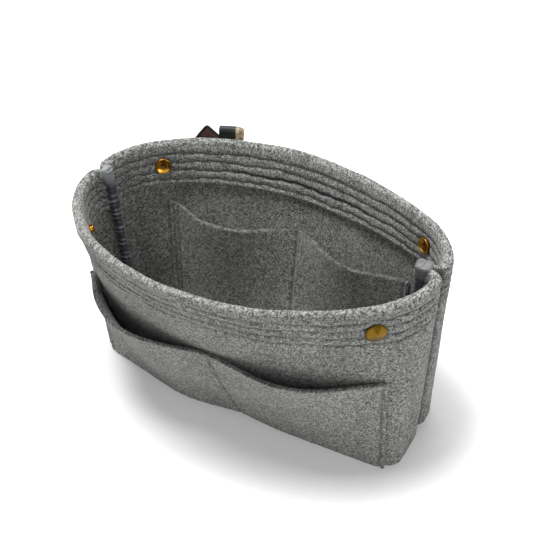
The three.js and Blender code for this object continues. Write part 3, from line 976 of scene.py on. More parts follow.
@dataclass
class Panels:
    """The front and back walls, each one felt panel with a folded hem and turned ends."""

    shape: WallShape
    felt: Material
    thread: Material
    row_drops: tuple[float, ...] = (9 * MM, 15 * MM, 21 * MM, 27 * MM)
    groove_depth: float = 0.85 * MM
    groove_width: float = 0.8 * MM
    stray: float = 1.5 * MM
    pillow: float = 0.35 * MM
    press: float = 0.75 * MM
    press_radii: tuple[float, float] = (6.6 * MM, 5.5 * MM)
    press_slope: float = 3.4 * MM
    crease_depth: float = 1.6 * MM
    crease_row: int = 2
    edge_radius: float = 0.7 * MM
    seam_shade: float = 1.1
    hem_step: float = 0.5 * MM
    wall_step: float = 2.2 * MM
    columns: int = 210
    turn_steps: int = 7
    run_steps: int = 4
    unsewn_stops: int = 3
    uneven_pace: float = 61.0
    stray_pace: float = 17.0
    row_pace: float = 3.0
    row_phase: float = 1.7
    face_depth: float = 0.9
    stitch_depth: float = 0.85

    def build(self) -> None:
        """Builds both walls with their hem stitches."""
        for side, name in ((Side.FRONT, "front_panel"), (Side.BACK, "back_panel")):
            fit(self.panel(side, f"{name}_felt"), Slot.FELT, name)
            fit(self.stitches(side, f"{name}_stitches"), Slot.FELT)

    def section(self, low: float) -> Array:
        """The panel's section, with its fold and its raw hem edge.

        Args:
            low: How far its lower edge is raised.

        Returns:
            Depths and heights, one row for each point.
        """
        felt, top, hem = self.shape.felt, self.shape.height, self.shape.height - self.shape.hem
        section = rounded_section((
            Corner(0, 0, self.edge_radius, self.wall_step),
            Corner(0, hem, 0, self.hem_step),
            Corner(0, top, felt, self.hem_step),
            Corner(2 * felt, top, felt, self.hem_step),
            Corner(2 * felt, hem, self.edge_radius, self.hem_step),
            Corner(felt, hem, 0, self.wall_step),
            Corner(felt, 0, self.edge_radius, self.wall_step),
        ))
        section[:, 1] += low * held(1 - section[:, 1] / hem)
        return section

    def stops(self) -> list[Stop]:
        """The places of the panel's rings.

        Returns:
            Places from the left raw edge to the right one.
        """
        turns = np.linspace(0, QUARTER_TURN, self.turn_steps + 1)[1:]
        runs = np.linspace(0, 1, self.run_steps + 1)[1:]
        left, right = (
            [Stop(end, turn=turn) for turn in turns]
            + [Stop(end, turn=QUARTER_TURN, run=run * self.shape.allowance(end)) for run in runs]
            for end in (-1, 1)
        )
        return left[::-1] + [Stop(0, share) for share in np.linspace(0, 1, self.columns)] + right

    def ring(self, side: Side, stop: Stop, z: Array, depth: Array) -> Array:
        """Points of a panel at one of its stops.

        Args:
            side: Which wall.
            stop: The place along it.
            z: Heights.
            depth: Depths inside the outer face.

        Returns:
            x, y and z on the last axis.
        """
        if stop.end == 0:
            return self.shape.point(side, stop.share, z, depth)
        past = stop.run / self.shape.allowance(stop.end)
        pinched = 1 - (1 - self.shape.pinch(stop.end)) * eased(held((stop.turned + past) / 2))
        return self.shape.seam_point(side, stop.end, stop.turn, stop.run, z, depth * pinched)

    def panel(self, side: Side, name: str) -> Piece:
        """Builds one wall.

        Args:
            side: Which wall.
            name: The piece's name.

        Returns:
            The piece.
        """
        stops = self.stops()
        rings = []
        for stop in stops:
            section = self.section(self.shape.above_base * eased(held(4 * stop.turned - 3)))
            rings.append(self.ring(side, stop, section[:, 1], section[:, 0]))
        points = np.array(rings)
        normals = ring_normals(points)
        section = self.section(0.0)
        sunk, sewn = self.sunk(side, np.array([stop.share for stop in stops]), section)
        turned = np.array([stop.turned for stop in stops])[:, None]
        outside = section[:, 0] < 0.3 * self.shape.felt
        piece = strip_piece(name, felted(points - normals * sunk[..., None], normals), self.felt)
        # Painted shade: the grooves, the crease and the seam groove where the bends meet are darkened.
        mark(piece, PAINTED_SHADE, sewn + self.seam_shade * held(3 * turned - 0.8) * outside)
        return piece

    def sunk(self, side: Side, shares: Array, section: Array) -> tuple[Array, Array]:
        """How deep the sewn hem is pressed in along its rows, and swells between them.

        Args:
            side: Which wall.
            shares: The rings' shares along the wall.
            section: The section's depths and heights.

        Returns:
            Depths, and how much painted shade darkens the grooves and crease, by ring and place in the ring.
        """
        drop = self.shape.height - section[:, 1]
        face = np.abs(section[:, 0] / self.shape.felt - 1) > self.face_depth
        outside = section[:, 0] < self.shape.felt
        rows = np.array(self.row_drops)
        away = drop[None, :, None] - rows - self.wander(side, shares)[:, None, :]
        grooves = np.exp(-((away / self.groove_width) ** 2))
        uneven = 0.55 + 0.45 * self.waves(shares, self.uneven_pace, 1.0 + side.value)[:, None, None]
        spacing = rows[1] - rows[0]
        swelling = np.sin(HALF_TURN * (drop - rows[0]) / spacing) ** 2
        within = (drop > rows[0] - spacing) & (drop < rows[-1] + spacing / 2)
        sunk = (self.groove_depth * grooves * uneven).sum(axis=2) - self.pillow * swelling * within
        sunk = sunk + self.dimple(side, shares, drop, outside)
        visible = np.where(outside, side is Side.FRONT, side is Side.BACK)
        creased = (self.crease(side, shares)[:, None, :] * grooves).sum(axis=2) * (face & visible)
        # The grooves and the crease are darkened as painted shade.
        sewn = np.where(face, (grooves**2 * (0.35 + 0.65 * uneven)).sum(axis=2), 0) + creased / MM
        return np.where(face, sunk, 0) + creased, sewn

    def waves(self, shares: Array, pace: float, phase: float) -> Array:
        """An uneven wave from 0 to 1 along the wall.

        Args:
            shares: Shares along the wall.
            pace: How many waves the wall holds.
            phase: Where they start.

        Returns:
            The wave at each share.
        """
        turn = FULL_TURN * shares
        wave = np.sin(turn * pace * 0.31 + phase) + 0.7 * np.sin(turn * pace + 2.1 * phase)
        return held(0.5 + 0.3 * wave)

    def wander(self, side: Side, shares: Array) -> Array:
        """How far each sewn row strays from its line.

        Args:
            side: Which wall.
            shares: The rings' shares along the wall.

        Returns:
            Lengths by ring and row.
        """
        rows = range(len(self.row_drops))
        strays = [
            self.waves(shares, self.stray_pace + self.row_pace * row, self.row_phase * row + side.value)
            for row in rows
        ]
        return self.stray * (np.stack(strays, axis=1) - 0.5)

    def dimple(self, side: Side, shares: Array, drop: Array, outside: Array) -> Array:
        """How deep the press studs pull the felt in round them.

        Args:
            side: Which wall.
            shares: The rings' shares along the wall.
            drop: How far below the rim each point of the section lies.
            outside: Whether it lies outside or inside.

        Returns:
            Depths by ring and place in the ring.
        """
        deep = np.zeros((len(shares), len(drop)))
        for share in (self.shape.snap_share, 1 - self.shape.snap_share):
            along = (shares - share)[:, None] * self.shape.length(side)
            away = np.hypot(along, (drop - self.shape.snap_drop)[None])
            beyond = (away - np.where(outside, *self.press_radii)) / self.press_slope
            deep = deep + self.press * (1 - eased(held(beyond)))
        return deep

    def crease(self, side: Side, shares: Array) -> Array:
        """How much deeper the wall creases along one of its rows where it bends.

        Args:
            side: Which wall.
            shares: The rings' shares along the wall.

        Returns:
            Depths by ring and row.
        """
        middle, spread = WALL_FORMS[side].crease
        deep = self.crease_depth * np.exp(-(((shares - middle) / spread) ** 4))
        return deep[:, None] * (np.arange(len(self.row_drops)) == self.crease_row)

    def stitches(self, side: Side, name: str) -> Piece:
        """Sews the hem's rows, seen outside and inside.

        Args:
            side: Which wall.
            name: The piece's name.

        Returns:
            The piece.
        """
        stitcher = Stitcher(self.thread)
        stops = self.stops()[self.unsewn_stops:-self.unsewn_stops]
        shares = np.array([stop.share for stop in stops])
        wander, crease = self.wander(side, shares), self.crease(side, shares)
        inset = self.groove_depth * self.stitch_depth
        for row, drop in enumerate(self.row_drops):
            heights = self.shape.height - drop - wander[:, row]
            for depth, sign in ((inset, -1), (2 * self.shape.felt - inset, 1)):
                line, deeper = (
                    np.array([self.ring(side, stop, z, np.array(at)) for stop, z in zip(stops, heights)])
                    for at in (depth, depth + sign * MM)
                )
                out = unit(deeper - line)
                seen = (sign < 0) == (side is Side.FRONT)
                stitcher.sew(line - out * (crease[:, row] * seen * 0.9)[:, None], out)
        return stitcher.finish(name)


@dataclass(frozen=True)
class Compartment:
    """A stretch of a pocket between two sewn lines, with how far its mouth gapes and sags."""

    start: float
    stop: float
    gape: float
    sag: float


@dataclass
class Pocket:
    """A felt strip along a wall, sewn down in places, whose open edge stands away from the wall."""

    shape: WallShape
    felt: Material
    thread: Material
    node: str
    side: Side
    near: float
    outward: int
    low: float
    height: float
    start: float
    stop: float
    compartments: Sequence[Compartment]
    seams: Sequence[float]
    edge_radius: float = 1.2 * MM
    step: float = 1.7 * MM
    edge_step: float = 0.8 * MM
    swell_power: float = 1.5
    gape_power: float = 1.6
    seam_depth: float = 0.9 * MM
    seam_width: float = 1.1 * MM
    seam_shade: float = 0.7
    lip_shade: float = 0.6
    sewn_from: float = 2 * MM
    sewn_to: float = 3 * MM
    lean: float = 0.0
    lean_span: float = 0.1
    rise: float = 0.0
    rise_span: float = 0.085

    def build(self) -> None:
        """Builds the pocket with its sewn lines."""
        fit(self.strip(), Slot.FELT, self.node)
        fit(self.stitches(), Slot.FELT)

    def shares(self) -> Array:
        """Shares along the pocket, closer together at its sewn lines.

        Returns:
            The shares, in order.
        """
        length = self.shape.length(self.side)
        even = np.linspace(self.start, self.stop, int((self.stop - self.start) * length / self.step))
        fine = np.linspace(-2, 2, 9) * self.seam_width / length
        near = [seam + fine for seam in self.seams]
        merged = np.unique(np.clip(np.concatenate((even, *near)), self.start, self.stop))
        return merged[np.concatenate(([True], np.diff(merged) > 0.2 * MM / length))]

    def swell(self, share: Array) -> tuple[Array, Array]:
        """How the mouth swells.

        Args:
            share: Shares along the wall.

        Returns:
            How far it stands off the wall there, and how far it sags.
        """
        gape, sag = np.zeros_like(share), np.zeros_like(share)
        for part in self.compartments:
            run = held((share - part.start) / (part.stop - part.start))
            within = (share > part.start) & (share < part.stop)
            bell = np.where(within, np.sin(HALF_TURN * run) ** self.swell_power, 0)
            gape, sag = gape + part.gape * bell, sag + part.sag * bell
        return gape, sag

    def left(self, share: Array, span: float) -> Array:
        """One at the pocket's left end, fading over a span of shares."""
        return 1 - eased(held((share - self.start) / span))

    def place(self, share: Any, z: Any, through: Any) -> Array:
        """Points of the pocket.

        Args:
            share: Shares along the wall.
            z: Heights before the edge sags.
            through: Depths into the pocket's felt from its face by the wall.

        Returns:
            x, y and z on the last axis.
        """
        share, z, through = np.broadcast_arrays(*(np.asarray(part, float) for part in (share, z, through)))
        gape, sag = self.swell(share)
        row = held((z - self.low) / (self.height - self.low))
        away = gape * row**self.gape_power + through
        risen = z + (self.rise * self.left(share, self.rise_span) - sag) * row
        leant = share + self.lean * (row - 0.5) * self.left(share, self.lean_span)
        return self.shape.point(self.side, leant, risen, self.near + self.outward * away)

    def strip(self) -> Piece:
        """Builds the felt strip.

        Returns:
            The piece.
        """
        felt = self.shape.felt
        section = rounded_section((
            Corner(0, self.low, 0.4 * MM, self.step),
            Corner(0, self.height, self.edge_radius, self.edge_step),
            Corner(felt, self.height, self.edge_radius, self.step),
            Corner(felt, self.low, self.edge_radius, self.edge_step),
        ))
        shares = self.shares()
        length = self.shape.length(self.side)
        rounding = np.minimum(shares - self.start, self.stop - shares) * length / self.edge_radius
        full = np.sqrt(np.clip(1 - (1 - held(rounding + 0.15)) ** 2, 0.2, 1))
        through = felt / 2 + (section[None, :, 0] - felt / 2) * full[:, None]
        points = self.place(shares[:, None], section[None, :, 1], through)
        normals = ring_normals(points)
        outer = section[None, :, 0] > felt / 2
        away = (shares[:, None] - np.array(self.seams)) * length / self.seam_width
        groove = np.exp(-(away**2)).sum(axis=1)[:, None]
        points = felted(points - normals * (groove * outer * self.seam_depth)[..., None], normals)
        piece = strip_piece(f"{self.node}_felt", points, self.felt)
        # Painted shade along the sewn grooves and on the top of the lip.
        lip = held((section[None, :, 1] - self.height) / self.edge_radius + 1) * self.lip_shade
        mark(piece, PAINTED_SHADE, np.maximum(groove**2 * outer * self.seam_shade, lip))
        return piece

    def stitches(self) -> Piece:
        """Sews the upright lines that hold the pocket down.

        Returns:
            The piece.
        """
        stitcher = Stitcher(self.thread, pitch=3.2 * MM, stitch=2.6 * MM)
        z = np.linspace(self.low + self.sewn_from, self.height - self.sewn_to, 60)
        for seam in self.seams:
            line, deeper = (self.place(seam, z, self.shape.felt - depth) for depth in (self.seam_depth, 0.0))
            stitcher.sew(line, unit(deeper - line))
        return stitcher.finish(f"{self.node}_stitches")


@dataclass
class SeamBinding:
    """The satin tape folded round one end seam's raw edges, gathered along its length, with a tab on top."""

    shape: WallShape
    satin: Material
    end: int
    node: str
    tape: float = 0.8 * MM
    cover: float = 4.8 * MM
    nose: float = 1.1 * MM
    nose_start: float = 1.5 * MM
    nose_power: float = 0.75
    taper: float = 9 * MM
    row_step: float = 0.5 * MM
    gather_pitch: float = 3.6 * MM
    gather_depth: float = 1.1 * MM
    gather_power: float = 1.6
    gather_slant: float = 160.0
    wander_paces: tuple[float, float] = (310.0, 733.0)
    wander_slant: float = 260.0
    uneven_pace: float = 521.0
    uneven_slant: float = 400.0
    calm: float = 16 * MM
    tab_length: float = 7 * MM
    tab_drop: float = 7 * MM
    tab_rise: float = 1.3 * MM
    tab_shift: float = 0.0
    tab_power: float = 0.62
    tab_radius: float = 1.8 * MM
    fold_drop: float = 1 * MM

    def build(self) -> None:
        """Builds the gathered tape and the tab folded over its top."""
        fit(self.sleeve(), Slot.TAPE, self.node)
        fit(self.tab(f"{self.node}_tab", 0.0, 0.0, 1.0), Slot.TAPE)
        fit(self.tab(f"{self.node}_fold", 0.35 * MM, self.tab_rise * 0.4, 0.6), Slot.TAPE)

    def half_width(self, z: Array) -> Array:
        """Half the tape's width, wider over the folded hem.

        Args:
            z: Heights.

        Returns:
            Lengths.
        """
        felt = self.shape.felt * self.shape.pinch(self.end)
        thick = 0.5 * self.shape.clearance + 2 * felt + self.shape.clearance + self.tape
        share = held((z - (self.shape.height - self.shape.hem - self.taper)) / self.taper)
        return thick - felt + felt * eased(share)

    def place(self, run: Array, across: Array, z: Array) -> Array:
        """Points round the seam allowance.

        Args:
            run: How far each lies from the raw edge towards the bend.
            across: How far each lies to the back of the seam.
            z: Heights.

        Returns:
            x, y and z on the last axis.
        """
        run, across, z = np.broadcast_arrays(run, across, z)
        corner = self.shape.outline(Side.FRONT, np.full(z.shape, float(self.end > 0)), z)
        x = corner[..., 0] - self.end * (self.shape.turn_radius + self.shape.allowance(self.end) - run)
        return np.stack((x, corner[..., 1] - self.shape.seam_y + across, z), axis=-1)

    def sleeve(self) -> Piece:
        """Builds the tape as one thin folded layer with gathers round its nose.

        Returns:
            The piece.
        """
        z = np.arange(self.shape.above_base, self.shape.height, self.row_step)
        half = self.half_width(z)[:, None]
        flank = np.linspace(self.cover, self.nose_start, 6)[:-1]
        turn = np.linspace(0, HALF_TURN, 25)
        rings, crest_highlights = [], []
        for inset, order in ((0.0, 1), (self.tape, -1)):
            wide = half - inset
            reach = self.nose_start + self.nose - inset
            bow = self.nose_start - reach * np.sin(turn) ** self.nose_power
            run = np.concatenate((flank, bow, flank[::-1]))[None]
            level = wide * np.ones_like(flank)
            across = np.concatenate((level, wide * blunted(np.cos(turn), self.nose_power), -level), axis=1)
            lift = self.gathers(z[:, None], run, across)
            run = run - lift * held(1 - run / self.cover)
            across = across + lift * 0.8 * across / half
            rings.append(self.place(run, across, z[:, None])[:, ::order])
            crest_highlights.append((lift / self.gather_depth)[:, ::order])
        piece = strip_piece(f"{self.node}_satin", np.concatenate(rings, axis=1), self.satin)
        # Marks the gathers' crests for a painted highlight.
        mark(piece, PAINTED_LIGHT, np.concatenate(crest_highlights, axis=1))
        return piece

    def gathers(self, z: Array, run: Array, across: Array) -> Array:
        """How far the gathered tape stands out, more at its lower part, where the needle pulled it together.

        Args:
            z: Heights.
            run: How far each point lies from the raw edge.
            across: How far each lies to the back of the seam.

        Returns:
            Lengths.
        """
        slow, quick = self.wander_paces
        wander = 0.6 * np.sin(z * slow + self.end) + 0.3 * np.sin(z * quick + across * self.wander_slant)
        wave = 0.5 + 0.5 * np.sin(FULL_TURN * z / self.gather_pitch + wander + across * self.gather_slant)
        uneven = 0.75 + 0.25 * np.sin(z * self.uneven_pace + 1.3 * self.end + run * self.uneven_slant)
        calm = np.clip((self.shape.height - z) / self.calm - 0.5, 0.05, 1)
        return self.gather_depth * wave**self.gather_power * uneven * calm

    def tab(self, name: str, inset: float, lift: float, share: float) -> Piece:
        """Builds a folded end of the tape as a thin rounded cushion.

        Args:
            name: The piece's name.
            inset: How far it is drawn in.
            lift: How far its top stands above the tab below it.
            share: How much of the tab's length it covers from its nose.

        Returns:
            The piece.
        """
        turn = np.linspace(0, FULL_TURN, 60, endpoint=False)
        ring_run, ring_across = (blunted(wave, self.tab_power) for wave in (np.cos(turn), np.sin(turn)))
        wide = float(self.half_width(np.array(self.shape.height))) + 0.5 * MM - inset
        start = -self.nose - 0.7 * MM + inset * 0.4 + self.tab_shift
        long = self.tab_length * share / 2
        base = self.shape.height - (self.tab_drop if share == 1 else self.fold_drop)
        top = self.shape.height + self.tab_rise + lift
        radius = self.tab_radius
        levels = [(base + (top - radius - base) * k / 7, 0.0) for k in range(7)]
        for angle in np.linspace(0, QUARTER_TURN, 8):
            levels.append((top - radius + radius * math.sin(angle), radius * (1 - math.cos(angle))))
        levels += [(top + 0.1 * MM, 3.1 * MM), (top + 0.15 * MM, 4.4 * MM)]
        rings = []
        for z, drawn in levels:
            run = start + long + ring_run * (long - min(drawn, long / 1.1))
            rings.append(self.place(run, ring_across * max(wide - drawn, 0.5 * MM), np.full(turn.shape, z)))
        points = np.array(rings)
        return strip_piece(name, felted(points, ring_normals(points), 0.6 * MM, 4.6 * MM), self.satin)


class SnapPart(Enum):
    """The parts of a press stud as radius and height, in millimetres, from the felt that each lies on."""

    CAP = (
        (5.4, -0.4), (6.2, -0.35), (6.55, -0.05), (6.6, 0.25), (6.42, 0.52), (6.1, 0.66), (5.2, 0.92),
        (4.0, 1.28), (2.8, 1.62), (1.7, 1.92), (0.9, 2.08), (0.35, 2.12),
    )
    SOCKET = (
        (4.9, 0.0), (5.35, 0.15), (5.5, 0.6), (5.5, 1.3), (5.35, 1.75), (5.05, 1.9), (4.8, 1.85), (4.4, 1.55),
        (3.7, 1.2), (2.9, 0.97), (2.1, 0.86), (1.55, 0.84), (1.4, 0.72), (1.35, 0.1), (0.2, 0.05),
    )
    STUD = (
        (4.9, 0.0), (5.35, 0.15), (5.5, 0.5), (5.3, 0.9), (4.8, 1.02), (3.1, 1.1), (2.6, 1.35), (2.45, 1.8),
        (2.55, 2.2), (2.85, 2.6), (2.8, 3.05), (2.35, 3.3), (1.2, 3.38), (0.3, 3.4),
    )


@dataclass
class Snaps:
    """The four brass press studs, each a cap outside and its mating part inside."""

    shape: WallShape
    cap_brass: Material
    inner_brass: Material
    press: float = 0.5 * MM
    sides: int = 56
    # How wide the dark painted reflection facing up is.
    sector: float = math.radians(26)
    sharp: float = math.radians(50)
    socket_hub: float = 0.34

    def build(self) -> None:
        """Builds the caps, the sockets at the back and the studs at the front."""
        share, height = self.shape.snap_share, self.shape.height - self.shape.snap_drop
        for side, word, part in ((Side.FRONT, "front", SnapPart.STUD), (Side.BACK, "back", SnapPart.SOCKET)):
            for share_here, hand in ((share, "left"), (1 - share, "right")):
                place, out = self.shape.seat(side, share_here, height)
                inner = Vector(self.shape.point(side, share_here, height, 2 * self.shape.felt))
                seat = place - out * ((place - inner).dot(out) - self.press)
                node = f"snap_cap_{word}_{hand}"
                fit(self.turned(node, SnapPart.CAP, place, out, self.cap_brass), Slot.BRASS, node)
                node = f"snap_{part.name.lower()}_{word}_{hand}"
                fit(self.turned(node, part, seat, -out, self.inner_brass), Slot.BRASS, node)

    def painted_darkening(self, piece: Piece, place: Vector, out: Vector, radius: float, hub: float) -> Array:
        """Painted darkening of a turned part: shade on its rim and hub, a dark reflection in the sector facing
        up.

        Args:
            piece: The part.
            place: Where it sits.
            out: The way it faces.
            radius: Its radius.
            hub: The share of the radius within which it is dark.

        Returns:
            From 0 to 1 for each of its points.
        """
        points = np.array([vertex.co for vertex in piece.data.vertices]) - np.array(place)
        up = (Vector((0, 0, 1)) - out * out.z).normalized()
        rise, side = points @ np.array(up), points @ np.array(out.cross(up))
        away = np.hypot(rise, side)
        sector = held(1.5 - np.abs(np.arctan2(side, rise)) / self.sector) * (away < radius)
        rim = held((away - radius) / (0.15 * radius))
        return held(0.75 * sector + 0.9 * rim + (away < hub * radius))

    def turned(self, node: str, part: SnapPart, place: Vector, out: Vector, brass: Any) -> Piece:
        """Turns a part from a disc: each step extrudes the last face, lifts it and scales it.

        Args:
            node: The CAD node that it stands for.
            part: Which part.
            place: Where it sits.
            out: The way it faces.
            brass: Its finish.

        Returns:
            The piece.
        """
        bpy.ops.object.select_all(action="DESELECT")
        steps = [(radius * MM, height * MM) for radius, height in part.value]
        radius, height = steps[0]
        bpy.ops.mesh.primitive_circle_add(vertices=self.sides, radius=radius, fill_type="NGON")
        piece = bpy.context.active_object
        piece.name = f"{node}_brass"
        bpy.ops.object.mode_set(mode="EDIT")
        bpy.ops.mesh.select_all(action="SELECT")
        bpy.ops.transform.translate(value=(0, 0, height))
        for wide, high in steps[1:]:
            bpy.ops.mesh.extrude_region_move(TRANSFORM_OT_translate={"value": (0, 0, high - height)})
            bpy.ops.transform.resize(value=(wide / radius, wide / radius, 1), center_override=(0, 0, high))
            radius, height = wide, high
        bpy.ops.mesh.select_all(action="SELECT")
        bpy.ops.mesh.normals_make_consistent(inside=False)
        bpy.ops.object.mode_set(mode="OBJECT")
        bpy.ops.object.shade_smooth_by_angle(angle=self.sharp)
        turn = Vector((0, 0, 1)).rotation_difference(out).to_matrix().to_4x4()
        piece.data.transform(Matrix.Translation(place) @ turn)
        hub = self.socket_hub if part is SnapPart.SOCKET else 0.0
        # Marks painted shade on the rim and hub and a dark painted reflection in the upward sector.
        mark(piece, PAINTED_LIGHT, self.painted_darkening(piece, place, out, steps[0][0], hub))
        piece.data.materials.append(brass)
        return piece


@dataclass(frozen=True)
class Station:
    """A place along the strap: its centre, the way across, the way its grain faces, how far it hangs free, and
    how wide and thick it is beside the strap's own sizes."""

    centre: Any
    across: Any
    grain: Any
    hang: float
    full: float = 1.0
    thick: float = 1.0


@dataclass
class Strap:
    """The leather strap behind the back wall: two sewn ends and the loop that hangs between them."""

    shape: WallShape
    grain: Material
    suede: Material
    cut_edge: Material
    thread: Material
    width: float = 14.5 * MM
    thickness: float = 2 * MM
    edge_radius: float = 0.45 * MM
    edge_step: float = 1.3 * MM
    relief: float = 0.12 * MM
    relief_size: float = 2.6 * MM
    corner: float = 2.0 * MM
    right_x: float = -59.3 * MM
    left_x: float = -84.3 * MM
    tip_x: float = -71.0 * MM
    tip_rise: float = 3.4 * MM
    rise: float = 6.5 * MM
    bend: float = 3 * MM
    sewn: float = 22 * MM
    tilt: float = math.radians(45)
    top_drop: float = 14 * MM
    drop: float = 52 * MM
    bulge: float = 9 * MM
    twist: float = math.radians(80)
    node_step: float = 0.004
    face_share: float = 0.35
    border: float = 1.3 * MM
    border_rings: int = 4
    skive: float = 4.0 * MM
    skive_depth: float = 0.8
    skive_start: int = 4
    skive_rings: int = 6
    bare_start: int = 7
    right_start: float = 0.6 * MM
    blend_before: float = 1.5 * MM
    blend_after: float = 3 * MM
    loop_rings: int = 90
    bend_rings: int = 19
    right_full: float = 1.16
    right_thick: float = 1.4

    @property
    def near(self) -> float:
        """How far the sewn strap's middle stands off the wall."""
        return self.shape.clearance + self.thickness / 2

    @property
    def far(self) -> float:
        """How far the hanging strap's middle stands off the wall."""
        return self.near + 2 * self.bend

    @property
    def hinge_z(self) -> float:
        """The height of the line about which the loop swings."""
        return self.shape.height - self.top_drop

    def on_wall(self, point: Array, swayed: bool = True) -> Array:
        """Puts points on the back wall.

        Args:
            point: Points along the wall, off it and up.
            swayed: Whether they follow the felt's give.

        Returns:
            x, y and z on the last axis.
        """
        z = np.clip(point[..., 2], self.shape.height - self.sewn, self.shape.height)
        share = 0.5 + point[..., 0] / self.shape.length(Side.BACK)
        place = self.shape.point(Side.BACK, share, z, -point[..., 1], swayed)
        place[..., 2] = point[..., 2]
        return place

    def hinge(self) -> tuple[Array, Array, Array]:
        """Finds the hinge line.

        Returns:
            Its middle, the way along it and the level way out of it.
        """
        ends = np.array([(x, self.far, self.hinge_z) for x in (self.left_x, self.right_x)])
        left, right = self.on_wall(ends, swayed=False)
        axis = unit(right - left)
        return (left + right) / 2, axis, np.array((-axis[1], axis[0], 0.0))

    def on_hinge(self, point: Array) -> Array:
        """Puts points in the upright plane of the hinge line.

        Args:
            point: Points along the wall, off it and up.

        Returns:
            x, y and z on the last axis.
        """
        middle, axis, out = self.hinge()
        along = point[..., 0:1] - (self.left_x + self.right_x) / 2
        place = middle + axis * along + out * (point[..., 1:2] - self.far)
        place[..., 2] = point[..., 2]
        return place

    def left_stations(self) -> list[Station]:
        """The left end, from its cut corner above the rim down to the loop.

        Returns:
            Its stations.
        """
        stations = []
        top = self.shape.height + self.tip_rise
        length = math.hypot(self.tip_x - self.left_x, top - self.hinge_z)
        for share in np.concatenate((np.linspace(0, 0.1, 9)[:-1], np.linspace(0.1, 0.97, 22))):
            x = self.tip_x + (self.left_x - self.tip_x) * share
            off = self.near + (self.far - self.near) * eased(share)
            tilt = self.tilt * (1 - share)
            short = max(0.0, self.corner - share * length)
            drawn = self.corner - math.sqrt(self.corner**2 - short**2)
            across = np.array((-math.cos(tilt), 0.0, math.sin(tilt)))
            place = (x, off, top + (self.hinge_z - top) * share)
            stations.append(Station(place, across, (0.0, 1.0, 0.0), share, 1 - 2 * drawn / self.width))
        return stations

    def path(self, share: float) -> Array:
        """The loop's middle line, straight down and up at its ends and bulging to both sides between.

        Args:
            share: How far along it.

        Returns:
            The place there.
        """
        angle = HALF_TURN * share
        sway = math.sin(2 * angle) * math.sin(angle)
        x = self.left_x + (self.right_x - self.left_x) * eased(share) - self.bulge * sway
        return np.array((x, self.far, self.hinge_z - self.drop * math.sin(angle)))

    def loop_stations(self) -> list[Station]:
        """The loop, edge on to the wall at its foot.

        Returns:
            Its stations.
        """
        stations = []
        for share in np.linspace(0, 1, self.loop_rings):
            run = unit(self.path(share + self.node_step) - self.path(share - self.node_step))
            twist = self.twist * math.sin(HALF_TURN * share)
            grain = np.array((run[2] * math.sin(twist), math.cos(twist), -run[0] * math.sin(twist)))
            stations.append(Station(self.path(share), unit(np.cross(grain, run)), grain, 1.0))
        return stations

    def right_stations(self) -> list[Station]:
        """The right end: up from the loop, over the bend and down the wall, where it is sewn flat.

        Returns:
            Its stations.
        """
        x, across = self.right_x, (1.0, 0.0, 0.0)
        full, thick = self.right_full, self.right_thick
        low = self.hinge_z + self.right_start
        arc_z = self.shape.height + self.rise - self.bend - self.thickness / 2
        stations = []
        for share in np.linspace(0, 1, 12)[:-1]:
            wide, deep = 1 + (full - 1) * eased(share), 1 + (thick - 1) * eased(share)
            place = (x, self.far, low + (arc_z - low) * share)
            stations.append(Station(place, across, (0.0, 1.0, 0.0), 1.0, wide, deep))
        for angle in np.linspace(HALF_TURN, 0, self.bend_rings):
            place = (x, self.near + self.bend * (1 - math.cos(angle)), arc_z + self.bend * math.sin(angle))
            grain = (0.0, -math.cos(angle), math.sin(angle))
            stations.append(Station(place, across, grain, angle / HALF_TURN, full, thick))
        for share in np.linspace(0, 1, 18)[1:]:
            deep = 1 + (thick - 1) * eased(held(1 - 3 * share))
            place = (x, self.near, arc_z + (self.shape.height - self.sewn - arc_z) * share)
            stations.append(Station(place, across, (0.0, -1.0, 0.0), 0.0, full, deep))
        return stations

    def build(self) -> None:
        """Builds the strap as one length of leather, and its stitches."""
        half, deep = self.width / 2, self.thickness / 2
        corners = ((half, -deep), (half, deep), (-half, deep), (-half, -deep))
        section = rounded_section([Corner(*at, self.edge_radius, self.edge_step) for at in corners], 3)
        left, right = self.left_stations(), self.right_stations()
        stations = left + self.loop_stations() + right
        raw_from = len(stations) - len(right)
        beyond = held((section[:, :1] - half + self.skive) / self.skive) * (section[:, 1:] > 0)
        rings = []
        for number, station in enumerate(stations):
            along = held((number - raw_from - self.skive_start) / self.skive_rings)
            skived = 1 - self.skive_depth * beyond * eased(along)
            across = section[:, :1] * station.across * station.full
            point = station.centre + (across + section[:, 1:] * skived * station.grain * station.thick)
            wall, hanging = self.on_wall(point), self.on_hinge(point)
            rings.append(wall + (hanging - wall) * station.hang)
        points = np.array(rings)
        points = felted(points, ring_normals(points), self.relief, self.relief_size)
        piece = strip_piece("strap_leather", points, self.grain, self.suede, self.cut_edge)
        self.paint(piece, section, len(stations), len(left), raw_from)
        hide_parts("strap_end_left", "strap_loop", "strap_end_right")
        middle, _, out = self.hinge()
        way = unit(2 * out - np.array((0.0, 0.0, 1.0)))
        start, end = middle - way * self.blend_before, middle + way * self.blend_after
        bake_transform(piece)
        LOG.info("%s: hinge middle %s", piece.name, middle)
        self.sew()

    def paint(self, piece: Piece, section: Array, count: int, left: int, raw_from: int) -> None:
        """Gives the grain side (0), the suede side (1) and the cut edges (2) their finishes.

        Args:
            piece: The strap.
            section: Its section.
            count: Its number of rings.
            left: How many of them its left end has.
            raw_from: The first ring whose edges are left raw.
        """
        across, through = ((section + np.roll(section, -1, axis=0)) / 2).T
        for polygon in piece.data.polygons:
            ring, place = divmod(polygon.index, len(section))
            edge = self.width / 2 - across[place]
            if ring >= count - 1:
                finish = 2 * min(place, 1)
            elif through[place] > self.face_share * self.thickness:
                finish = 2 * (ring >= raw_from + self.bare_start and edge < self.skive)
            elif through[place] < -self.face_share * self.thickness:
                bordered = ring < self.border_rings or min(edge, self.width - edge) < self.border
                finish = 0 if ring < left and bordered else 1
            else:
                finish = 2 * (ring >= raw_from)
            polygon.material_index = finish

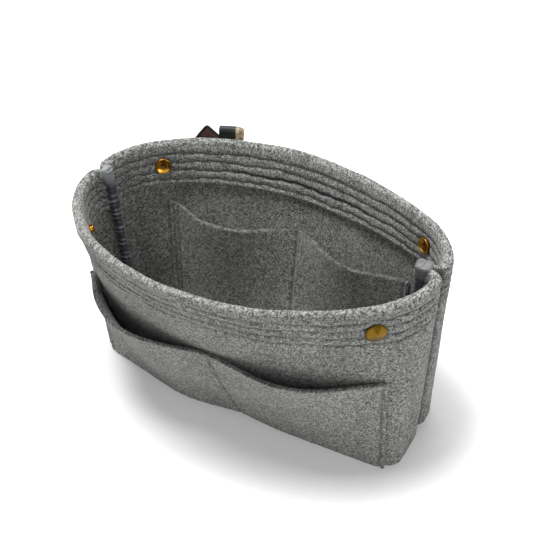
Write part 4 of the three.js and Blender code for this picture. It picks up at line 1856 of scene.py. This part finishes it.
    def sew(self) -> None:
        """Sews the strap's ends: tufts at the rim and a box of stitches on the sewn end."""
        stitcher = Stitcher(self.thread, pitch=2.9 * MM, stitch=2.3 * MM, radius=0.36 * MM)
        inner, outer = self.near - self.thickness / 2, self.near + self.thickness / 2
        top = self.shape.height
        tufts = (
            (np.linspace(-4.6, 2.2, 4) * MM + self.right_x, 0.5 * MM, top - 0.6 * MM, top + 2.1 * MM),
            (np.linspace(3.2, 7.2, 3) * MM + self.tip_x, 0.6 * MM, top - 1.4 * MM, top + 1.0 * MM),
        )
        for places, slant, low, high in tufts:
            for x in places:
                self.sew_line(stitcher, (x, inner, low), (x + slant, inner, high), -1)
        side, low, high = self.width / 2 - 2 * MM, top - self.sewn + 2 * MM, top - 3 * MM
        sides = ((-side, low), (side, low), (side, high), (-side, high))
        box = [(self.right_x + x, outer, z) for x, z in sides]
        for start, stop in zip(box, box[1:] + box[:1]):
            self.sew_line(stitcher, start, stop, 1)
        fit(stitcher.finish("strap_stitches"), Slot.LEATHER)

    def sew_line(self, stitcher: Stitcher, start: Triple, stop: Triple, facing: int) -> None:
        """Sews a straight row on the sewn part of the strap.

        Args:
            stitcher: What sews it.
            start: Where it starts, along the wall, off it and up.
            stop: Where it stops.
            facing: 1 for out of the wall and -1 for towards it.
        """
        line = np.linspace(start, stop, 20)
        row, deeper = self.on_wall(line), self.on_wall(line + np.array((0.0, MM * facing, 0.0)))
        stitcher.sew(row, unit(deeper - row))


@dataclass
class Base:
    """The felt base inside the walls' lower edges."""

    shape: WallShape
    felt: Material
    edge: float = 0.9 * MM
    half_depth: float = 36 * MM
    columns: int = 160
    rings: int = 30
    innermost: float = 0.985
    hollow: float = 0.8 * MM

    def build(self) -> None:
        """Builds the base: its underside, its rounded edge and its slightly hollow top."""
        felt = self.shape.felt
        shares = np.linspace(0, 1, self.columns)
        turns = np.linspace(0, 0.95 * QUARTER_TURN, 10)
        rim = np.vstack((
            self.shape.point(Side.FRONT, shares, 0.0, self.shape.above_base),
            [self.bend(Side.FRONT, 1, turn) for turn in turns],
            [self.bend(Side.BACK, 1, turn) for turn in turns[::-1]],
            self.shape.point(Side.BACK, shares[::-1], 0.0, self.shape.above_base),
            [self.bend(Side.BACK, -1, turn) for turn in turns],
            [self.bend(Side.FRONT, -1, turn) for turn in turns[::-1]],
        ))
        insets = np.linspace(0.99, 0.02, self.rings)
        levels = [(inset, 0.0) for inset in (*insets, 0.0)]
        for angle in np.linspace(0, QUARTER_TURN, 4):
            in_by = self.edge * (1 - math.cos(angle)) / self.half_depth
            levels.append((in_by, felt - self.edge + self.edge * math.sin(angle)))
        for inset in insets[::-1]:
            levels.append((inset + self.edge / self.half_depth, felt - self.hollow * eased(held(inset * 2))))
        rings = np.array([self.level(rim, inset, z) for inset, z in levels])
        fit(strip_piece("base_panel_felt", rings, self.felt), Slot.FELT, "base_panel")

    def bend(self, side: Side, end: int, turn: float) -> Array:
        """A point of the base's edge beside a wall's bend into its seam."""
        return self.shape.seam_point(side, end, turn, 0.0, 0.0, self.shape.above_base)

    def level(self, rim: Array, inset: float, z: float) -> Array:
        """The rim drawn in towards the middle.

        Args:
            rim: Its points.
            inset: The share by which it is drawn in.
            z: The height to which it is brought.

        Returns:
            The ring's points.
        """
        ring = rim - rim * min(inset, self.innermost)
        ring[:, 2] = z
        return ring


def hang(data: Any, place: Vector, turn: Matrix) -> bpy.types.Object:
    """Puts a camera or lamp into the scene.

    Args:
        data: The camera or lamp.
        place: Where it hangs.
        turn: How it is turned.

    Returns:
        Its object.
    """
    made = bpy.data.objects.new(data.name, data)
    made.matrix_world = Matrix.Translation(place) @ turn.to_4x4()
    bpy.context.scene.collection.objects.link(made)
    return made


def build_camera() -> None:
    """Sets the camera at the photograph's viewing angle."""
    azimuth, elevation, roll = (math.radians(angle) for angle in (28.73, 37.83, -0.58))
    focal_pixels, frame_pixels = 1065.5, 540
    distance = 735.6 * MM
    target = Vector((-23.27 * MM, 35.85 * MM, 60 * MM))
    level = math.cos(elevation)
    back = Vector((math.sin(azimuth) * level, -math.cos(azimuth) * level, math.sin(elevation)))
    right = Vector((math.cos(azimuth), math.sin(azimuth), 0))
    up = back.cross(right)
    axes = (right * math.cos(roll) + up * math.sin(roll), up * math.cos(roll) - right * math.sin(roll), back)
    data = bpy.data.cameras.new("view")
    data.sensor_fit = "HORIZONTAL"
    data.lens = data.sensor_width * focal_pixels / frame_pixels
    data.clip_start = 0.01
    bpy.context.scene.camera = hang(data, target + back * distance, Matrix(axes).transposed())


@dataclass(frozen=True)
class Lamp:
    """A soft studio lamp: its place and size in metres, and its power in watts."""

    name: str
    place: Triple
    size: float
    power: float
    aim: Triple = (0.0, 0.0, 0.07)

    def build(self) -> None:
        """Hangs the lamp so that it shines at the insert's middle."""
        data = bpy.data.lights.new(self.name, "AREA")
        data.shape = "DISK"
        data.size = self.size
        data.energy = self.power
        way = Vector(self.aim) - Vector(self.place)
        hang(data, Vector(self.place), way.to_track_quat("-Z", "Y").to_matrix())


def build_studio() -> None:
    """Sets out the floor, the lamps and the world, which is brighter where it is seen than where it lights."""
    bpy.ops.mesh.primitive_plane_add(size=12.0, location=(0, 0, 0))
    floor = bpy.context.active_object
    floor.name = "studio_floor"
    floor.data.materials.append(FloorFinish().material())
    for lamp in (
        Lamp("key", (-0.35, -0.12, 1.6), 0.6, 25.0),
        Lamp("back", (-0.1, 0.5, 1.5), 0.8, 10.0),
        Lamp("fill_right", (1.4, -0.5, 0.5), 1.0, 7.5),
        Lamp("fill_left", (-0.9, -1.1, 0.45), 1.0, 2.5),
    ):
        lamp.build()
    bpy.context.scene.world = bpy.data.worlds.new("studio")
    sky = Shader(bpy.context.scene.world, "ShaderNodeOutputWorld")
    lit, seen = (
        sky.node("ShaderNodeBackground", {}, {"Color": (*WHITE, 1.0), "Strength": strength}, 0)
        for strength in (0.25, 1.0)
    )
    sky.show(sky.node("ShaderNodeMixShader", {}, {0: sky.seen(), 1: lit, 2: seen}, 0))
    bpy.context.scene.view_settings.view_transform = "Standard"


def build_pockets(shape: WallShape, felt: Material, thread: Material) -> None:
    """Builds the three pockets.

    Args:
        shape: The walls that they follow.
        felt: The felt's finish.
        thread: The thread's finish.
    """
    low, inset = shape.above_base, 0.009
    start, middle, stop = 0.1, 0.5, 0.872
    parts = [Compartment(start, middle, 12 * MM, 1 * MM), Compartment(middle, stop, 10.5 * MM, 1 * MM)]
    seams = (start + inset, middle, stop - inset)
    Pocket(
        shape, felt, thread, "outer_front_pocket", Side.FRONT, -shape.clearance, -1, 0.0, 78 * MM, start, stop,
        parts, seams, seam_shade=0.4, lean=0.022,
    ).build()
    start, middle, stop = 0.158, 0.49, 0.81
    parts = [Compartment(start, middle, 12 * MM, 3 * MM), Compartment(middle, stop, 12 * MM, 3 * MM)]
    seams = (start + inset, start + 2.2 * inset, middle, stop - inset)
    Pocket(
        shape, felt, thread, "inner_back_pocket", Side.BACK, low, 1, low, 83 * MM, start, stop, parts, seams,
        rise=9.5 * MM,
    ).build()
    start, stop, width, slots = 0.15, 0.82, 0.068, 4
    edges = [start + width * i for i in range(slots + 1)]
    parts = [Compartment(a, b, 9.5 * MM, 1.5 * MM) for a, b in zip(edges, edges[1:])]
    parts.append(Compartment(edges[-1], stop, 10 * MM, 1.5 * MM))
    seams = (start + inset / 2, *edges[1:], stop - inset / 2)
    Pocket(
        shape, felt, thread, "inner_front_pocket", Side.FRONT, low, 1, low, 62 * MM, start, stop, parts, seams,
    ).build()


def build_strap(shape: WallShape) -> None:
    """Builds the leather strap.

    Args:
        shape: The walls that it follows.
    """
    grain = LeatherFinish(
        "black_grain", (0.006, 0.0065, 0.007), (0.022, 0.023, 0.024), 0.4, 1100.0, 0.12 * MM, 0.12,
    )
    suede = LeatherFinish(
        "brown_suede", (0.055, 0.028, 0.022), (0.15, 0.075, 0.055), 0.85, 2600.0, 0.1 * MM, 0.0,
    )
    cut_edge = LeatherFinish("cut_edge", (0.07, 0.035, 0.02), (0.8, 0.66, 0.44), 0.7, 1500.0, 0.2 * MM, 0.0)
    thread = ThreadFinish("cream_thread", (0.45, 0.38, 0.22), (0.8, 0.74, 0.55))
    Strap(shape, *(finish.material() for finish in (grain, suede, cut_edge, thread))).build()


def main() -> None:
    """Builds the insert and its studio."""
    logging.basicConfig(level=logging.INFO, format="%(name)s %(message)s")
    build_camera()
    build_studio()
    shape = WallShape()
    felt = FeltFinish().material()
    thread = ThreadFinish("grey_olive_thread", (0.05, 0.055, 0.045), (0.2, 0.21, 0.17)).material()
    Panels(shape, felt, thread).build()
    build_pockets(shape, felt, thread)
    Base(shape, felt).build()
    satin = TapeFinish().material()
    # A brighter copy of the satin for the left tape: its pale top is a stronger painted highlight.
    highlit_satin = TapeFinish("rubbed_satin_tape", foot=121 * MM, high=(0.3, 0.31, 0.325)).material()
    SeamBinding(
        shape, highlit_satin, -1, "seam_binding_left", cover=3.4 * MM, tab_length=5.5 * MM, tab_drop=12 * MM,
        tab_shift=1.6 * MM,
    ).build()
    SeamBinding(
        shape, satin, 1, "seam_binding_right", tab_length=10.4 * MM, tab_drop=7.5 * MM, tab_shift=-0.6 * MM,
    ).build()
    cap_brass = BrassFinish("olive_brass", (0.132, 0.077, 0.007), (0.055, 0.03, 0.005)).material()
    inner_brass = BrassFinish("red_gold_brass", (0.62, 0.315, 0.036), (0.15, 0.045, 0.008)).material()
    Snaps(shape, cap_brass, inner_brass).build()
    build_strap(shape)


if __name__ == "__main__":
    main()
